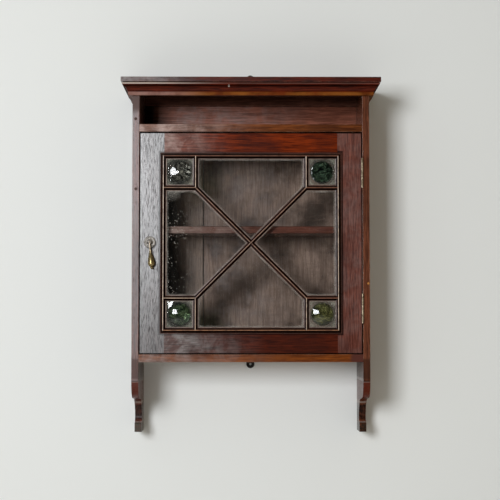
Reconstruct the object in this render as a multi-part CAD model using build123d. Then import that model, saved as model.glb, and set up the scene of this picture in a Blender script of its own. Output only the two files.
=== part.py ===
"""Hanging wall cabinet with an open recess over one glazed door.

X runs to the right, Y from the room into the wall and Z up, in millimetres. The wall face is
Y = 0. The model is laid out with Z = 0 at the bracket feet, and is saved with its origin midway
between the two hanging holes.
"""
from build123d import *
import math
import os

# Carcass
carcass_width = 505.0
carcass_depth = 159.0
side_thickness = 15.0
bottom_board_thickness = 16.5
upper_shelf_thickness = 16.0
inner_shelf_thickness = 16.0
inner_shelf_underside = 428.0
inner_shelf_setback = 28.0
recess_height = 87.5
housing_depth = 5.0
housing_stop = 12.0
back_thickness = 8.0
back_rebate_width = 7.5
left_back_board_width = 140.0
back_board_gap = 0.5
hanging_rail_height = 25.5
hanging_rail_thickness = 12.0
arris_radius = 0.8

# Brackets that the sides end in
bracket_drop = 154.0
bracket_straight = 40.0
bracket_quirk = 1.5
bracket_nose = 38.0
bracket_shoulder_run = 30.0
bracket_shoulder_fall = 3.0
bracket_neck_depth = 49.0
bracket_cove_fall = 35.0
bracket_foot_depth = 62.0
bracket_foot_height = 19.0
bracket_foot_ledge = 1.5

# Top board and cornice
top_board_thickness = 10.5
top_overhang = 23.5
top_edge_radius = 1.2
cornice_height = 26.5
cornice_fillet_height = 8.5
cornice_fillet_projection = 9.0
cornice_step = 1.5
cornice_cove_top_projection = 18.6
cornice_cove_height = 11.0
cornice_cove_hollow = 1.6
cornice_bead_projection = 21.4
cornice_bead_height = 5.0
cornice_rail_thickness = 14.0
cornice_rail_lift = 2.0

# Door
door_height = 469.5
door_thickness = 20.0
door_side_gap = 1.5
door_bottom_gap = 1.5
door_top_gap = 2.5
stile_width = 52.0
rail_width = 51.0
tenon_thickness = 7.0
tenon_length = 32.0
tenon_shoulder = 10.0
stop_width = 8.0
stop_thickness = 7.0
stop_clearance = 0.5

# Glazing bead and bars
bead_rebate_width = 9.0
bead_depth = 8.0
bead_width = 14.0
bead_half_round = 2.25
bead_front_drop = 0.8
bead_quirk_depth = 3.0
bead_quirk_width = 1.3
bead_outer_cove = 2.2
bar_half_width = 6.75
bar_cove_width = 3.0
bar_fillet_depth = 5.6
cove_hollow = 0.7
corner_square = 68.0
web_thickness = 3.0
web_depth = 9.0

# Glass
pane_thickness = 2.2
pane_clearance = 0.5
bullseye_diameter = 49.2
bullseye_rim_radius = 2.0
bullseye_dome_radius = 75.0
putty_width = 5.5
putty_feather = 1.0
putty_depth = 6.0

# Hinges
hinge_length = 63.0
hinge_leaf_width = 17.0
hinge_leaf_thickness = 1.25
hinge_pin_proud = 2.0
hinge_barrel_radius = 2.4
hinge_pin_radius = 1.2
hinge_running_clearance = 0.05
hinge_knuckles = 5
hinge_knuckle_gap = 0.2
hinge_relief = 0.4
upper_hinge_from_top = 54.5
lower_hinge_from_bottom = 64.0
screw_radius = 1.5
screw_head_radius = 3.0
screw_head_depth = 1.6
screw_length = 12.0
screw_slot_width = 0.7
screw_slot_depth = 0.5
hinge_screw_spacing = 21.0
hinge_screw_inset = 10.2

# Handle
handle_inset = 21.5
handle_height = 236.0
handle_lean = 5.0
rose_radius = 12.4
rose_edge = 1.2
rose_rim_height = 1.8
rose_crown = 3.0
rose_rim_radius = 10.3
rose_hollow_radius = 7.4
rose_boss_radius = 4.3
rose_slope_radius = 5.2
rose_slope_height = 2.4
post_radius = 2.0
post_pivot_stand = 8.2
fork_radius = 3.1
fork_cheek = 1.6
tongue_thickness = 2.4
tongue_side_clearance = 0.2
pivot_pin_radius = 1.1
drop_length = 57.5
drop_neck_radius = 1.9
drop_neck_length = 14.7
drop_belly_radius = 7.3
drop_belly_down = 46.0
drop_belly_turn = 0.91
drop_shoulder_radius = 4.6
drop_tip_step = 0.6
drop_tip_foot_radius = 2.3
drop_tip_radius = 3.4
nut_radius = 5.0
nut_thickness = 3.0
post_tail = 1.5

# Ball catch
catch_height = 290.0
catch_barrel_radius = 4.0
catch_barrel_length = 13.0
catch_ball_radius = 3.0
catch_ball_clearance = 0.15
catch_ball_proud = 1.2
catch_lip = 0.4
catch_lip_clearance = 0.15
catch_seat_clearance = 0.3
catch_bore_end = 2.0
strike_width = 12.0
strike_height = 28.0
strike_thickness = 1.0

# Hanging plates and nails
hanger_width = 17.5
hanger_thickness = 1.6
hanger_hole_radius = 2.5
top_hole_above_top = 28.0
bottom_hole_below_board = 9.0
hanger_tail = 11.0
hanger_screw_spacing = 13.0
hanger_screw_length = 14.0
nail_radius = 0.8
nail_head_radius = 2.0
nail_head_thickness = 0.7
nail_length = 18.0
nails_in_row = 6

# How far a shape reaches past what it cuts or joins
cut_spare = 1.0

# Levels above the bracket feet
bottom_board_top = bracket_drop + bottom_board_thickness
door_bottom = bottom_board_top + door_bottom_gap
door_top = door_bottom + door_height
upper_shelf_underside = door_top + door_top_gap
upper_shelf_top = upper_shelf_underside + upper_shelf_thickness
sides_top = upper_shelf_top + recess_height
cabinet_top = sides_top + top_board_thickness
back_level_joint = upper_shelf_underside + upper_shelf_thickness / 2
top_hole_level = cabinet_top + top_hole_above_top
bottom_hole_level = bracket_drop - bottom_hole_below_board
origin_level = (top_hole_level + bottom_hole_level) / 2

# Places across and in depth
outer_x = carcass_width / 2
inner_x = outer_x - side_thickness
front_y = -carcass_depth
back_face_y = -back_thickness
door_x = inner_x - door_side_gap
opening_x = door_x - stile_width
opening_bottom = door_bottom + rail_width
opening_top = door_top - rail_width
glass_y = front_y + bead_depth
pane_back_y = glass_y + pane_thickness

# Crest lines of the glazing, from the middle of the door
bead_outer_side = bead_width - bar_half_width
crest_x = opening_x + bead_rebate_width - bead_outer_side
crest_z = (opening_top - opening_bottom) / 2 + bead_rebate_width - bead_outer_side
square_x = crest_x - corner_square
square_z = crest_z - corner_square
crest_to_opening = bead_rebate_width - bead_outer_side
door_middle = (opening_top + opening_bottom) / 2

saved = []


def save(name, *solids):
    """Write one named node with its origin midway between the hanging holes."""
    moved = [Pos(0, 0, -origin_level) * solid for solid in solids]
    shape = moved[0] if len(moved) == 1 else Compound(children=moved)
    export_step(shape, f"parts/{name}.step")
    saved.append(name)


def block(x_span, y_span, z_span):
    """A box between two limits on each axis."""
    low = Vector(min(x_span), min(y_span), min(z_span))
    high = Vector(max(x_span), max(y_span), max(z_span))
    size = high - low
    middle = (low + high) * 0.5
    return Pos(middle) * Box(size.X, size.Y, size.Z)


def rod(start, direction, radius, length):
    """A round bar from a point along a direction."""
    return Plane(origin=start, z_dir=direction) * Pos(0, 0, length / 2) * Cylinder(radius, length)


def one_solid(shape):
    """The largest solid of a result, which is the piece itself."""
    return max(shape.solids(), key=lambda solid: solid.volume)


def plan_prism(points, y_span):
    """A prism along Y over a polygon given as (across, up) from the middle of the door."""
    corners = [(across, y_span[0], door_middle + up) for across, up in points]
    face = make_face(Polyline(*corners, close=True))
    return extrude(face, amount=y_span[1] - y_span[0], dir=(0, 1, 0))


def hollow_arc(start, end, depth):
    """A shallow arc between two points, bowed to the left of the way from start to end."""
    start_point, end_point = Vector(*start), Vector(*end)
    along = (end_point - start_point).normalized()
    middle = (start_point + end_point) * 0.5 + Vector(-along.Y, along.X) * depth
    return ThreePointArc(start_point, middle, end_point)


# Carcass

def housing_tongue(underside, thickness, setback):
    """The part of a board that reaches into the housings of both sides."""
    reach = inner_x + housing_depth
    return block((-reach, reach), (front_y + setback + housing_stop, back_face_y),
                 (underside, underside + thickness))


def housed_board(underside, thickness, setback):
    """A board between the sides, let into both, with a softened front edge."""
    board_front = front_y + setback
    board = block((-inner_x, inner_x), (board_front, back_face_y), (underside, underside + thickness))
    edges = [edge for edge in board.edges().filter_by(Axis.X)
             if abs(edge.center().Y - board_front) < 0.01]
    return fillet(edges, arris_radius) + housing_tongue(underside, thickness, setback)


def bracket_outline():
    """The side board seen from the side, as (depth, height) with the wall at zero."""
    straight_end = bracket_drop - bracket_straight
    nose_start = (-(carcass_depth - bracket_quirk), straight_end)
    nose_end = (nose_start[0] + bracket_nose, straight_end - bracket_nose)
    shoulder_end = (nose_end[0] + bracket_shoulder_run, nose_end[1] - bracket_shoulder_fall)
    neck = (-bracket_neck_depth, shoulder_end[1] - bracket_cove_fall)
    foot_top = (-(bracket_foot_depth - bracket_foot_ledge), bracket_foot_height)
    foot_front = (-bracket_foot_depth, bracket_foot_height - bracket_foot_ledge)
    nose = TangentArc(nose_start, nose_end, tangent=(0, -1))
    shoulder = Line(nose_end, shoulder_end)
    cove = TangentArc(shoulder_end, neck, tangent=(bracket_shoulder_run, -bracket_shoulder_fall))
    flare = TangentArc(neck, foot_top, tangent=cove % 1)
    edges = [
        Line((0, 0), (0, sides_top)),
        Line((0, sides_top), (-carcass_depth, sides_top)),
        Line((-carcass_depth, sides_top), (-carcass_depth, straight_end)),
        Line((-carcass_depth, straight_end), nose_start),
        nose, shoulder, cove, flare,
        Line(foot_top, foot_front),
        Line(foot_front, (-bracket_foot_depth, 0)),
        Line((-bracket_foot_depth, 0), (0, 0)),
    ]
    return make_face(edges)


def side_board(hand):
    """One side, with its bracket, back rebate, housings and softened front corners."""
    outline = Plane(origin=(0, 0, 0), x_dir=(0, 1, 0), z_dir=(1, 0, 0)) * bracket_outline()
    board = Pos(inner_x, 0, 0) * extrude(outline, amount=side_thickness, dir=(1, 0, 0))
    corners = [edge for edge in board.edges().filter_by(Axis.Z)
               if abs(edge.center().Y - front_y) < 0.01]
    board = fillet(corners, arris_radius)
    board -= block((inner_x - cut_spare, inner_x + back_rebate_width), (back_face_y, cut_spare),
                   (bracket_drop, sides_top + cut_spare))
    if hand < 0:
        board = mirror(board, about=Plane.YZ)
    return board


def top_board_shape():
    """The overhanging top, with eased front and end edges."""
    edge_x = outer_x + top_overhang
    top = block((-edge_x, edge_x), (front_y - top_overhang, 0), (sides_top, cabinet_top))
    eased = [edge for edge in top.edges()
             if edge.center().Y < -1 and abs(edge.tangent_at(0.5).Z) < 0.5]
    return fillet(eased, top_edge_radius)


def cornice_section():
    """The moulding, as (projection, height above its own lower edge)."""
    cove_foot = (cornice_fillet_projection + cornice_step, cornice_fillet_height)
    cove_top = (cornice_cove_top_projection, cornice_fillet_height + cornice_cove_height)
    bead_foot = cornice_height - cornice_bead_height - cornice_step / 2
    bead_top = bead_foot + cornice_bead_height
    return make_face([
        Line((0, 0), (cornice_fillet_projection, 0)),
        Line((cornice_fillet_projection, 0), (cornice_fillet_projection, cornice_fillet_height)),
        Line((cornice_fillet_projection, cornice_fillet_height), cove_foot),
        hollow_arc(cove_foot, cove_top, cornice_cove_hollow),
        Line(cove_top, (cornice_cove_top_projection, bead_foot)),
        ThreePointArc((cornice_cove_top_projection, bead_foot),
                      (cornice_bead_projection, (bead_foot + bead_top) / 2),
                      (cornice_cove_top_projection, bead_top)),
        Line((cornice_cove_top_projection, bead_top), (cornice_cove_top_projection, cornice_height)),
        Line((cornice_cove_top_projection, cornice_height), (0, cornice_height)),
        Line((0, cornice_height), (0, 0)),
    ])


def cornice_run(start, outward, along, length, region):
    """A length of the moulding, cut to its mitres by a region seen from above."""
    plane = Plane(origin=start, x_dir=outward, z_dir=along)
    run = extrude(plane * cornice_section(), amount=length, dir=along)
    base = Vector(*start).Z - cut_spare
    face = make_face(Polyline(*[(x, y, base) for x, y in region], close=True))
    return one_solid(run & extrude(face, amount=cornice_height + 2 * cut_spare, dir=(0, 0, 1)))


def cornice():
    """The front length and the two returns, mitred at the front corners."""
    foot = sides_top - cornice_height
    far = cornice_bead_projection + cut_spare
    wide = outer_x + far
    inner_corner, outer_corner = (outer_x, front_y), (wide, front_y - far)
    left_inner, left_outer = (-outer_x, front_y), (-wide, front_y - far)
    front = cornice_run((wide, front_y, foot), (0, -1, 0), (-1, 0, 0), 2 * wide,
                        [left_inner, left_outer, outer_corner, inner_corner])
    right = cornice_run((outer_x, 0, foot), (1, 0, 0), (0, -1, 0), carcass_depth + far,
                        [inner_corner, outer_corner, (wide, 0), (outer_x, 0)])
    return front, mirror(right, about=Plane.YZ), right


def back_boards():
    """Two upright boards behind the door and a level one behind the recess."""
    edge = inner_x + back_rebate_width
    joint = -edge + left_back_board_width
    left = block((-edge, joint - back_board_gap / 2), (back_face_y, 0), (bracket_drop, back_level_joint))
    right = block((joint + back_board_gap / 2, edge), (back_face_y, 0), (bracket_drop, back_level_joint))
    level = block((-edge, edge), (back_face_y, 0), (back_level_joint, sides_top))
    return left, right, level


def back_nails():
    """Rows of nails through the back boards into the bottom board and the upper shelf."""
    spread = 2 * inner_x
    levels = [bracket_drop + bottom_board_thickness / 2,
              (upper_shelf_underside + back_level_joint) / 2,
              (upper_shelf_top + back_level_joint) / 2]
    nails = []
    for level in levels:
        for number in range(nails_in_row):
            across = (number + 0.5) / nails_in_row * spread - spread / 2
            head = rod((across, 0, level), (0, -1, 0), nail_head_radius, nail_head_thickness)
            nails.append(head + rod((across, 0, level), (0, -1, 0), nail_radius, nail_length))
    return nails


def screw(head_centre, direction, length):
    """A slotted countersunk screw whose head lies flush at a point."""
    head = Pos(0, 0, screw_head_depth / 2) * Cone(screw_head_radius, screw_radius, screw_head_depth)
    shank = Pos(0, 0, length / 2) * Cylinder(screw_radius, length)
    body = head + shank
    slot = Box(2 * (screw_head_radius + cut_spare), screw_slot_width, 2 * screw_slot_depth)
    return (Plane(origin=head_centre, z_dir=direction) * body,
            Plane(origin=head_centre, z_dir=direction) * (body - slot))


def hanger(hole_level, upward):
    """An iron plate let in flush at the back, with its hole past the cabinet."""
    half = hanger_width / 2
    edge = sides_top if upward > 0 else bracket_drop
    if upward > 0:
        screw_levels = [edge - hanger_tail / 2 - step * hanger_screw_spacing for step in range(2)]
    else:
        screw_levels = [edge + bottom_board_thickness / 2]
    tail = screw_levels[-1] - upward * hanger_tail / 2
    plate = block((-half, half), (-hanger_thickness, 0), (tail, hole_level))
    plate += rod((0, 0, hole_level), (0, -1, 0), half, hanger_thickness)
    blank = plate
    plate -= rod((0, cut_spare, hole_level), (0, -1, 0), hanger_hole_radius,
                 hanger_thickness + 2 * cut_spare)
    screws = [screw((0, 0, level), (0, -1, 0), hanger_screw_length) for level in screw_levels]
    for solid_form, _ in screws:
        plate -= solid_form
    return plate, blank, screws


# Glazing pattern

def glazing_cells():
    """The eight openings between the crest lines, from the middle of the door."""
    cells = {}
    for side, sx in (("left", -1), ("right", 1)):
        for row, sz in (("lower", -1), ("upper", 1)):
            cells[f"{row}_{side}"] = [(sx * crest_x, sz * crest_z), (sx * crest_x, sz * square_z),
                                      (sx * square_x, sz * square_z), (sx * square_x, sz * crest_z)]
        cells[side] = [(sx * crest_x, square_z), (sx * crest_x, -square_z), (sx * square_x, -square_z),
                       (0, 0), (sx * square_x, square_z)]
    for row, sz in (("bottom", -1), ("top", 1)):
        cells[row] = [(-square_x, sz * crest_z), (-square_x, sz * square_z), (0, 0),
                      (square_x, sz * square_z), (square_x, sz * crest_z)]
    return cells


def on_frame(first, second):
    """Whether a crest line between two points is one of the outer four."""
    upright = abs(first[0]) == crest_x and first[0] == second[0]
    level = abs(first[1]) == crest_z and first[1] == second[1]
    return upright or level


def inset(cell, at_bar, at_frame):
    """The cell's corners moved in from bars and from the frame by their own distances."""
    count = len(cell)
    area = sum(cell[i][0] * cell[(i + 1) % count][1] - cell[(i + 1) % count][0] * cell[i][1]
               for i in range(count))
    turn = 1 if area > 0 else -1
    lines = []
    for i in range(count):
        first, second = cell[i], cell[(i + 1) % count]
        length = math.dist(first, second)
        normal = (-turn * (second[1] - first[1]) / length, turn * (second[0] - first[0]) / length)
        away = at_frame if on_frame(first, second) else at_bar
        lines.append((normal, normal[0] * first[0] + normal[1] * first[1] + away))
    corners = []
    for i in range(count):
        (n1, d1), (n2, d2) = lines[i - 1], lines[i]
        cross = n1[0] * n2[1] - n1[1] * n2[0]
        corners.append(((d1 * n2[1] - d2 * n1[1]) / cross, (n1[0] * d2 - n2[0] * d1) / cross))
    return corners


cells = glazing_cells()
sight = {name: dict(zip(cell, inset(cell, bar_half_width, bar_half_width)))
         for name, cell in cells.items()}
light = {name: inset(cell, web_thickness / 2, crest_to_opening) for name, cell in cells.items()}


def cells_beside(first, second):
    """The two cells that share a bar."""
    found = []
    for name, cell in cells.items():
        count = len(cell)
        sides = [{cell[i], cell[(i + 1) % count]} for i in range(count)]
        if {first, second} in sides:
            found.append(name)
    return found


def half_section():
    """The moulded half of a bar, as (from the crest line, depth), ready for the fillet's edge."""
    quirk = (bead_half_round, bead_quirk_depth)
    fillet_edge = (bead_half_round + bar_cove_width, bar_fillet_depth)
    bend = bead_half_round * math.sqrt(0.5)
    return [
        ThreePointArc((0, 0), (bend, bead_half_round - bend), (bead_half_round, bead_half_round)),
        Line((bead_half_round, bead_half_round), quirk),
        hollow_arc(quirk, fillet_edge, cove_hollow),
        Line(fillet_edge, (bar_half_width, bar_fillet_depth)),
        Line((bar_half_width, bar_fillet_depth), (bar_half_width, bead_depth)),
    ]


def bar_face():
    """A bar's moulded cap, symmetrical about its crest line."""
    half = make_face(half_section() + [Line((bar_half_width, bead_depth), (0, bead_depth)),
                                       Line((0, bead_depth), (0, 0))])
    return half + mirror(half, about=Plane.YZ)


def bead_face():
    """The frame bead: a bar's inner half, a quirk and an outer fillet just below the frame."""
    inner = make_face(half_section() + [Line((bar_half_width, bead_depth), (0, bead_depth)),
                                        Line((0, bead_depth), (0, 0))])
    bend = bead_half_round * math.sqrt(0.5)
    quirk_inner = (-bead_half_round, bead_quirk_depth)
    quirk_outer = (-bead_half_round - bead_quirk_width, bead_quirk_depth)
    cove_end = (quirk_outer[0] - bead_outer_cove, bead_front_drop)
    outer_edge = -bead_outer_side
    outer = make_face([
        ThreePointArc((0, 0), (-bend, bead_half_round - bend), (-bead_half_round, bead_half_round)),
        Line((-bead_half_round, bead_half_round), quirk_inner),
        Line(quirk_inner, quirk_outer),
        hollow_arc(cove_end, quirk_outer, cove_hollow),
        Line(cove_end, (outer_edge, bead_front_drop)),
        Line((outer_edge, bead_front_drop), (outer_edge, bead_depth)),
        Line((outer_edge, bead_depth), (0, bead_depth)),
        Line((0, bead_depth), (0, 0)),
    ])
    return inner + outer


def glazing_run(face, start, end, region):
    """A section run along a crest line and cut to its mitres."""
    direction = Vector(end[0] - start[0], 0, end[1] - start[1])
    along = direction.normalized()
    spare = Vector(along.X, 0, along.Z) * bead_width
    origin = Vector(start[0], front_y, door_middle + start[1]) - spare
    plane = Plane(origin=origin, x_dir=(along.Z, 0, -along.X), z_dir=along)
    run = extrude(plane * face, amount=direction.length + 2 * bead_width, dir=along)
    return run & plan_prism(region, (front_y - cut_spare, front_y + bead_depth + web_depth + cut_spare))


def web(start, end, region):
    """The tenon of a bar that stands between two panes, kept inside the frame's opening."""
    face = Pos(0, bead_depth + web_depth / 2) * Rectangle(web_thickness, web_depth)
    half_opening = (opening_top - opening_bottom) / 2
    clear = block((-opening_x, opening_x), (front_y, 0),
                  (door_middle - half_opening, door_middle + half_opening))
    return glazing_run(face, start, end, region) & clear


def bar(start, end, region):
    """A whole glazing bar: cap and web."""
    return one_solid(glazing_run(bar_face(), start, end, region) + web(start, end, region))


def towards(point, target, share):
    """A point part of the way to another."""
    return (point[0] + (target[0] - point[0]) * share, point[1] + (target[1] - point[1]) * share)


def corner_bars():
    """The upright and the level bar of each corner square."""
    bars = {}
    for side, sx in (("left", -1), ("right", 1)):
        for row, sz in (("lower", -1), ("upper", 1)):
            corner = (sx * square_x, sz * square_z)
            ends = {"upright": (sx * square_x, sz * crest_z), "level": (sx * crest_x, sz * square_z)}
            for lie, end in ends.items():
                first, second = cells_beside(corner, end)
                region = [corner, sight[first][corner], sight[first][end], end,
                          sight[second][end], sight[second][corner]]
                bars[f"bar_{row}_{side}_{lie}"] = bar(corner, end, region)
    return bars


def diagonal_bars():
    """One whole diagonal, and one in two pieces that meet it at the middle."""
    middle = (0, 0)
    keep = bead_half_round / bar_half_width
    lower, upper = (-square_x, -square_z), (square_x, square_z)
    region = []
    for start, end, first, last in ((lower, upper, "left", "top"), (upper, lower, "right", "bottom")):
        near, far = sight[first], sight[last]
        region += [start, near[start], near[middle], towards(middle, near[middle], keep),
                   towards(middle, far[middle], keep), far[middle], far[end]]
    rising = bar(lower, upper, region)
    upper_left, lower_right = (-square_x, square_z), (square_x, -square_z)
    halves = []
    for end, first, last in ((upper_left, "left", "top"), (lower_right, "right", "bottom")):
        near, far = sight[first], sight[last]
        region = [end, near[end], near[middle], towards(middle, near[middle], keep),
                  towards(middle, far[middle], keep), far[middle], far[end]]
        halves.append(bar(end, middle, region))
    return rising, halves


def bead_lengths():
    """The four lengths of bead, mitred at the corners and notched for the bars."""
    edge_x, edge_z = crest_x + bead_outer_side, crest_z + bead_outer_side
    lengths = {}
    for name, sz in (("bottom", -1), ("top", 1)):
        region = [(-edge_x, sz * edge_z), (edge_x, sz * edge_z)]
        row = "upper" if sz > 0 else "lower"
        first, last = f"{row}_right", f"{row}_left"
        level = sz * crest_z
        region += [sight[first][(crest_x, level)], sight[first][(square_x, level)], (square_x, level),
                   sight[name][(square_x, level)], sight[name][(-square_x, level)], (-square_x, level),
                   sight[last][(-square_x, level)], sight[last][(-crest_x, level)]]
        start, end = (-sz * crest_x, level), (sz * crest_x, level)
        lengths[f"bead_{name}"] = one_solid(glazing_run(bead_face(), start, end, region))
    for name, sx in (("left", -1), ("right", 1)):
        across = sx * crest_x
        region = [(sx * edge_x, -edge_z), (sx * edge_x, edge_z),
                  sight[f"upper_{name}"][(across, crest_z)], sight[f"upper_{name}"][(across, square_z)],
                  (across, square_z), sight[name][(across, square_z)], sight[name][(across, -square_z)],
                  (across, -square_z), sight[f"lower_{name}"][(across, -square_z)],
                  sight[f"lower_{name}"][(across, -crest_z)]]
        start, end = (across, sx * crest_z), (across, -sx * crest_z)
        lengths[f"bead_{name}"] = one_solid(glazing_run(bead_face(), start, end, region))
    return lengths


def bullseye():
    """The thick middle of a corner pane: a steep round rim, then a flat dome, bedded in the sheet."""
    radius = bullseye_diameter / 2
    dome, rim = bullseye_dome_radius, bullseye_rim_radius
    dome_foot = radius - rim
    bend = rim * math.sqrt(0.5)
    centre = rim - math.sqrt(dome ** 2 - dome_foot ** 2)
    half_angle = math.asin(dome_foot / dome) / 2
    on_dome = (dome * math.sin(half_angle), centre + dome * math.cos(half_angle))
    bed = -pane_thickness / 2
    profile = make_face([
        Line((0, bed), (radius, bed)),
        Line((radius, bed), (radius, 0)),
        ThreePointArc((radius, 0), (dome_foot + bend, bend), (dome_foot, rim)),
        ThreePointArc((dome_foot, rim), on_dome, (0, centre + dome)),
        Line((0, centre + dome), (0, bed)),
    ])
    return revolve(Plane.XZ * profile, axis=Axis.Z)


def pane(name):
    """A sheet of glass behind the caps of its bars, with a dome if it is a corner square."""
    outline = inset(cells[name], web_thickness / 2 + pane_clearance, crest_to_opening + pane_clearance)
    sheet = plan_prism(outline, (glass_y, pane_back_y))
    if "_" not in name:
        return sheet
    centre_x = sum(x for x, _ in outline) / len(outline)
    centre_z = sum(z for _, z in outline) / len(outline) + door_middle
    return sheet + Plane(origin=(centre_x, glass_y, centre_z), z_dir=(0, -1, 0)) * bullseye()


def putty_ring(name):
    """A bevelled fillet of putty all round the back of a pane."""
    y_span = (pane_back_y, pane_back_y + putty_depth)
    block_of_putty = plan_prism(light[name], y_span)
    faces = []
    for y, width in ((y_span[0], putty_width), (y_span[1], putty_feather)):
        outline = inset(cells[name], web_thickness / 2 + width, crest_to_opening + width)
        corners = [(across, y, door_middle + up) for across, up in outline]
        faces.append(make_face(Polyline(*corners, close=True)))
    return block_of_putty - loft(faces, ruled=True)


# Door frame

def rebate_for_bead():
    """The space that the glazing bead takes out of the frame's inner front edge."""
    edge_x, edge_z = crest_x + bead_outer_side, crest_z + bead_outer_side
    return block((-edge_x, edge_x), (front_y - cut_spare, glass_y),
                 (door_middle - edge_z, door_middle + edge_z))


def rail_tenon(level):
    """The tenons at both ends of a rail, in one block across the opening."""
    reach = opening_x + tenon_length
    middle_y = front_y + bead_depth + (door_thickness - bead_depth) / 2
    half_height = rail_width / 2 - tenon_shoulder
    return block((-reach, reach), (middle_y - tenon_thickness / 2, middle_y + tenon_thickness / 2),
                 (level - half_height, level + half_height))


def door_frame():
    """Two stiles and two rails, tenoned together and rebated for the bead."""
    y_span = (front_y, front_y + door_thickness)
    rail_levels = {"door_rail_bottom": door_bottom + rail_width / 2,
                   "door_rail_top": door_top - rail_width / 2}
    pieces = {}
    for name, level in rail_levels.items():
        rail = block((-opening_x, opening_x), y_span, (level - rail_width / 2, level + rail_width / 2))
        outer = [edge for edge in rail.edges().filter_by(Axis.X)
                 if abs(edge.center().Y - front_y) < 0.01
                 and abs(abs(edge.center().Z - door_middle) - door_height / 2) < 0.01]
        pieces[name] = fillet(outer, arris_radius) - rebate_for_bead() + rail_tenon(level)
    for name, hand in (("handle_stile", -1), ("hinge_stile", 1)):
        stile = block((hand * opening_x, hand * door_x), y_span, (door_bottom, door_top))
        outer = [edge for edge in stile.edges().filter_by(Axis.Z)
                 if abs(edge.center().Y - front_y) < 0.01 and abs(abs(edge.center().X) - door_x) < 0.01]
        stile = fillet(outer, arris_radius) - rebate_for_bead()
        for level in rail_levels.values():
            stile -= rail_tenon(level)
        pieces[name] = stile
    return pieces


# Hinges

pin_x = (door_x + inner_x) / 2
pin_y = front_y - hinge_pin_proud
hinge_levels = {"upper": door_top - upper_hinge_from_top - hinge_length / 2,
                "lower": door_bottom + lower_hinge_from_bottom + hinge_length / 2}


def hinge_leaf(level, fixed):
    """A leaf with its knuckles: three on the side board's leaf, two on the door's."""
    leaf_x = (inner_x, inner_x + hinge_leaf_thickness) if fixed else (door_x, door_x - hinge_leaf_thickness)
    low = level - hinge_length / 2
    leaf = block(leaf_x, (pin_y, front_y + hinge_leaf_width), (low, low + hinge_length))
    pitch = hinge_length / hinge_knuckles
    barrel = None
    for number in range(hinge_knuckles):
        foot = low + number * pitch
        own = (number % 2 == 0) == fixed
        if own:
            trim_foot = 0 if number == 0 else hinge_knuckle_gap / 2
            trim_head = 0 if number == hinge_knuckles - 1 else hinge_knuckle_gap / 2
            knuckle = rod((pin_x, pin_y, foot + trim_foot), (0, 0, 1), hinge_barrel_radius,
                          pitch - trim_foot - trim_head)
            barrel = knuckle if barrel is None else barrel + knuckle
        else:
            leaf -= rod((pin_x, pin_y, foot - hinge_knuckle_gap / 2), (0, 0, 1),
                        hinge_barrel_radius + hinge_relief, pitch + hinge_knuckle_gap)
    bore = hinge_pin_radius if fixed else hinge_pin_radius + hinge_running_clearance
    return leaf + barrel - rod((pin_x, pin_y, low - cut_spare), (0, 0, 1), bore,
                               hinge_length + 2 * cut_spare)


def hinge_screws(level, fixed):
    """Three countersunk screws through a leaf."""
    face_x, direction = (inner_x, (1, 0, 0)) if fixed else (door_x, (-1, 0, 0))
    middle_y = front_y + hinge_screw_inset
    return [screw((face_x, middle_y, level + step * hinge_screw_spacing), direction, screw_length)
            for step in (-1, 0, 1)]


def hinge_relief_cut(level):
    """The round relief that the barrel needs in both wooden edges."""
    return rod((pin_x, pin_y, level - hinge_length / 2), (0, 0, 1),
               hinge_barrel_radius + hinge_relief, hinge_length)


# Handle, modelled about its post and then turned a little to one side

handle_x = -(door_x - handle_inset)
handle_level = door_bottom + handle_height


def place_handle(shape):
    """Set a handle piece on the stile, leaning as it hangs."""
    return Pos(handle_x, front_y, handle_level) * Rot(0, -handle_lean, 0) * shape


def rose():
    """A cast rose: rim, hollow ring and raised centre, turned about its own axis."""
    profile = make_face([
        Line((post_radius, 0), (rose_radius, 0)),
        Line((rose_radius, 0), (rose_radius, rose_edge / 2)),
        ThreePointArc((rose_radius, rose_edge / 2), (rose_rim_radius, rose_rim_height),
                      (rose_hollow_radius, rose_edge)),
        ThreePointArc((rose_hollow_radius, rose_edge), (rose_slope_radius, rose_slope_height),
                      (rose_boss_radius, rose_crown)),
        Line((rose_boss_radius, rose_crown), (post_radius, rose_crown)),
        Line((post_radius, rose_crown), (post_radius, 0)),
    ])
    return mirror(revolve(profile, axis=Axis.Y), about=Plane.XZ)


def handle_post():
    """A forked head with its cross pin, on a shank that goes through the stile."""
    gap = tongue_thickness / 2 + tongue_side_clearance
    shank_end = door_thickness + nut_thickness + post_tail
    post = rod((0, shank_end, 0), (0, -1, 0), post_radius, shank_end + rose_crown)
    half_fork = gap + fork_cheek
    for side in (-1, 1):
        cheek_x = (side * gap, side * half_fork)
        post += block(cheek_x, (-rose_crown, -post_pivot_stand), (-fork_radius, fork_radius))
        post += rod((cheek_x[0], -post_pivot_stand, 0), (side, 0, 0), fork_radius, fork_cheek)
    base_end = post_pivot_stand - fork_radius - 2 * tongue_side_clearance
    post += block((-half_fork, half_fork), (-rose_crown, -base_end), (-fork_radius, fork_radius))
    return post + rod((-half_fork, -post_pivot_stand, 0), (1, 0, 0), pivot_pin_radius, 2 * half_fork)


def handle_nut():
    """A round nut behind the stile."""
    nut = rod((0, door_thickness, 0), (0, 1, 0), nut_radius, nut_thickness)
    return nut - rod((0, 0, 0), (0, 1, 0), post_radius, door_thickness + 2 * nut_thickness)


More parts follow.
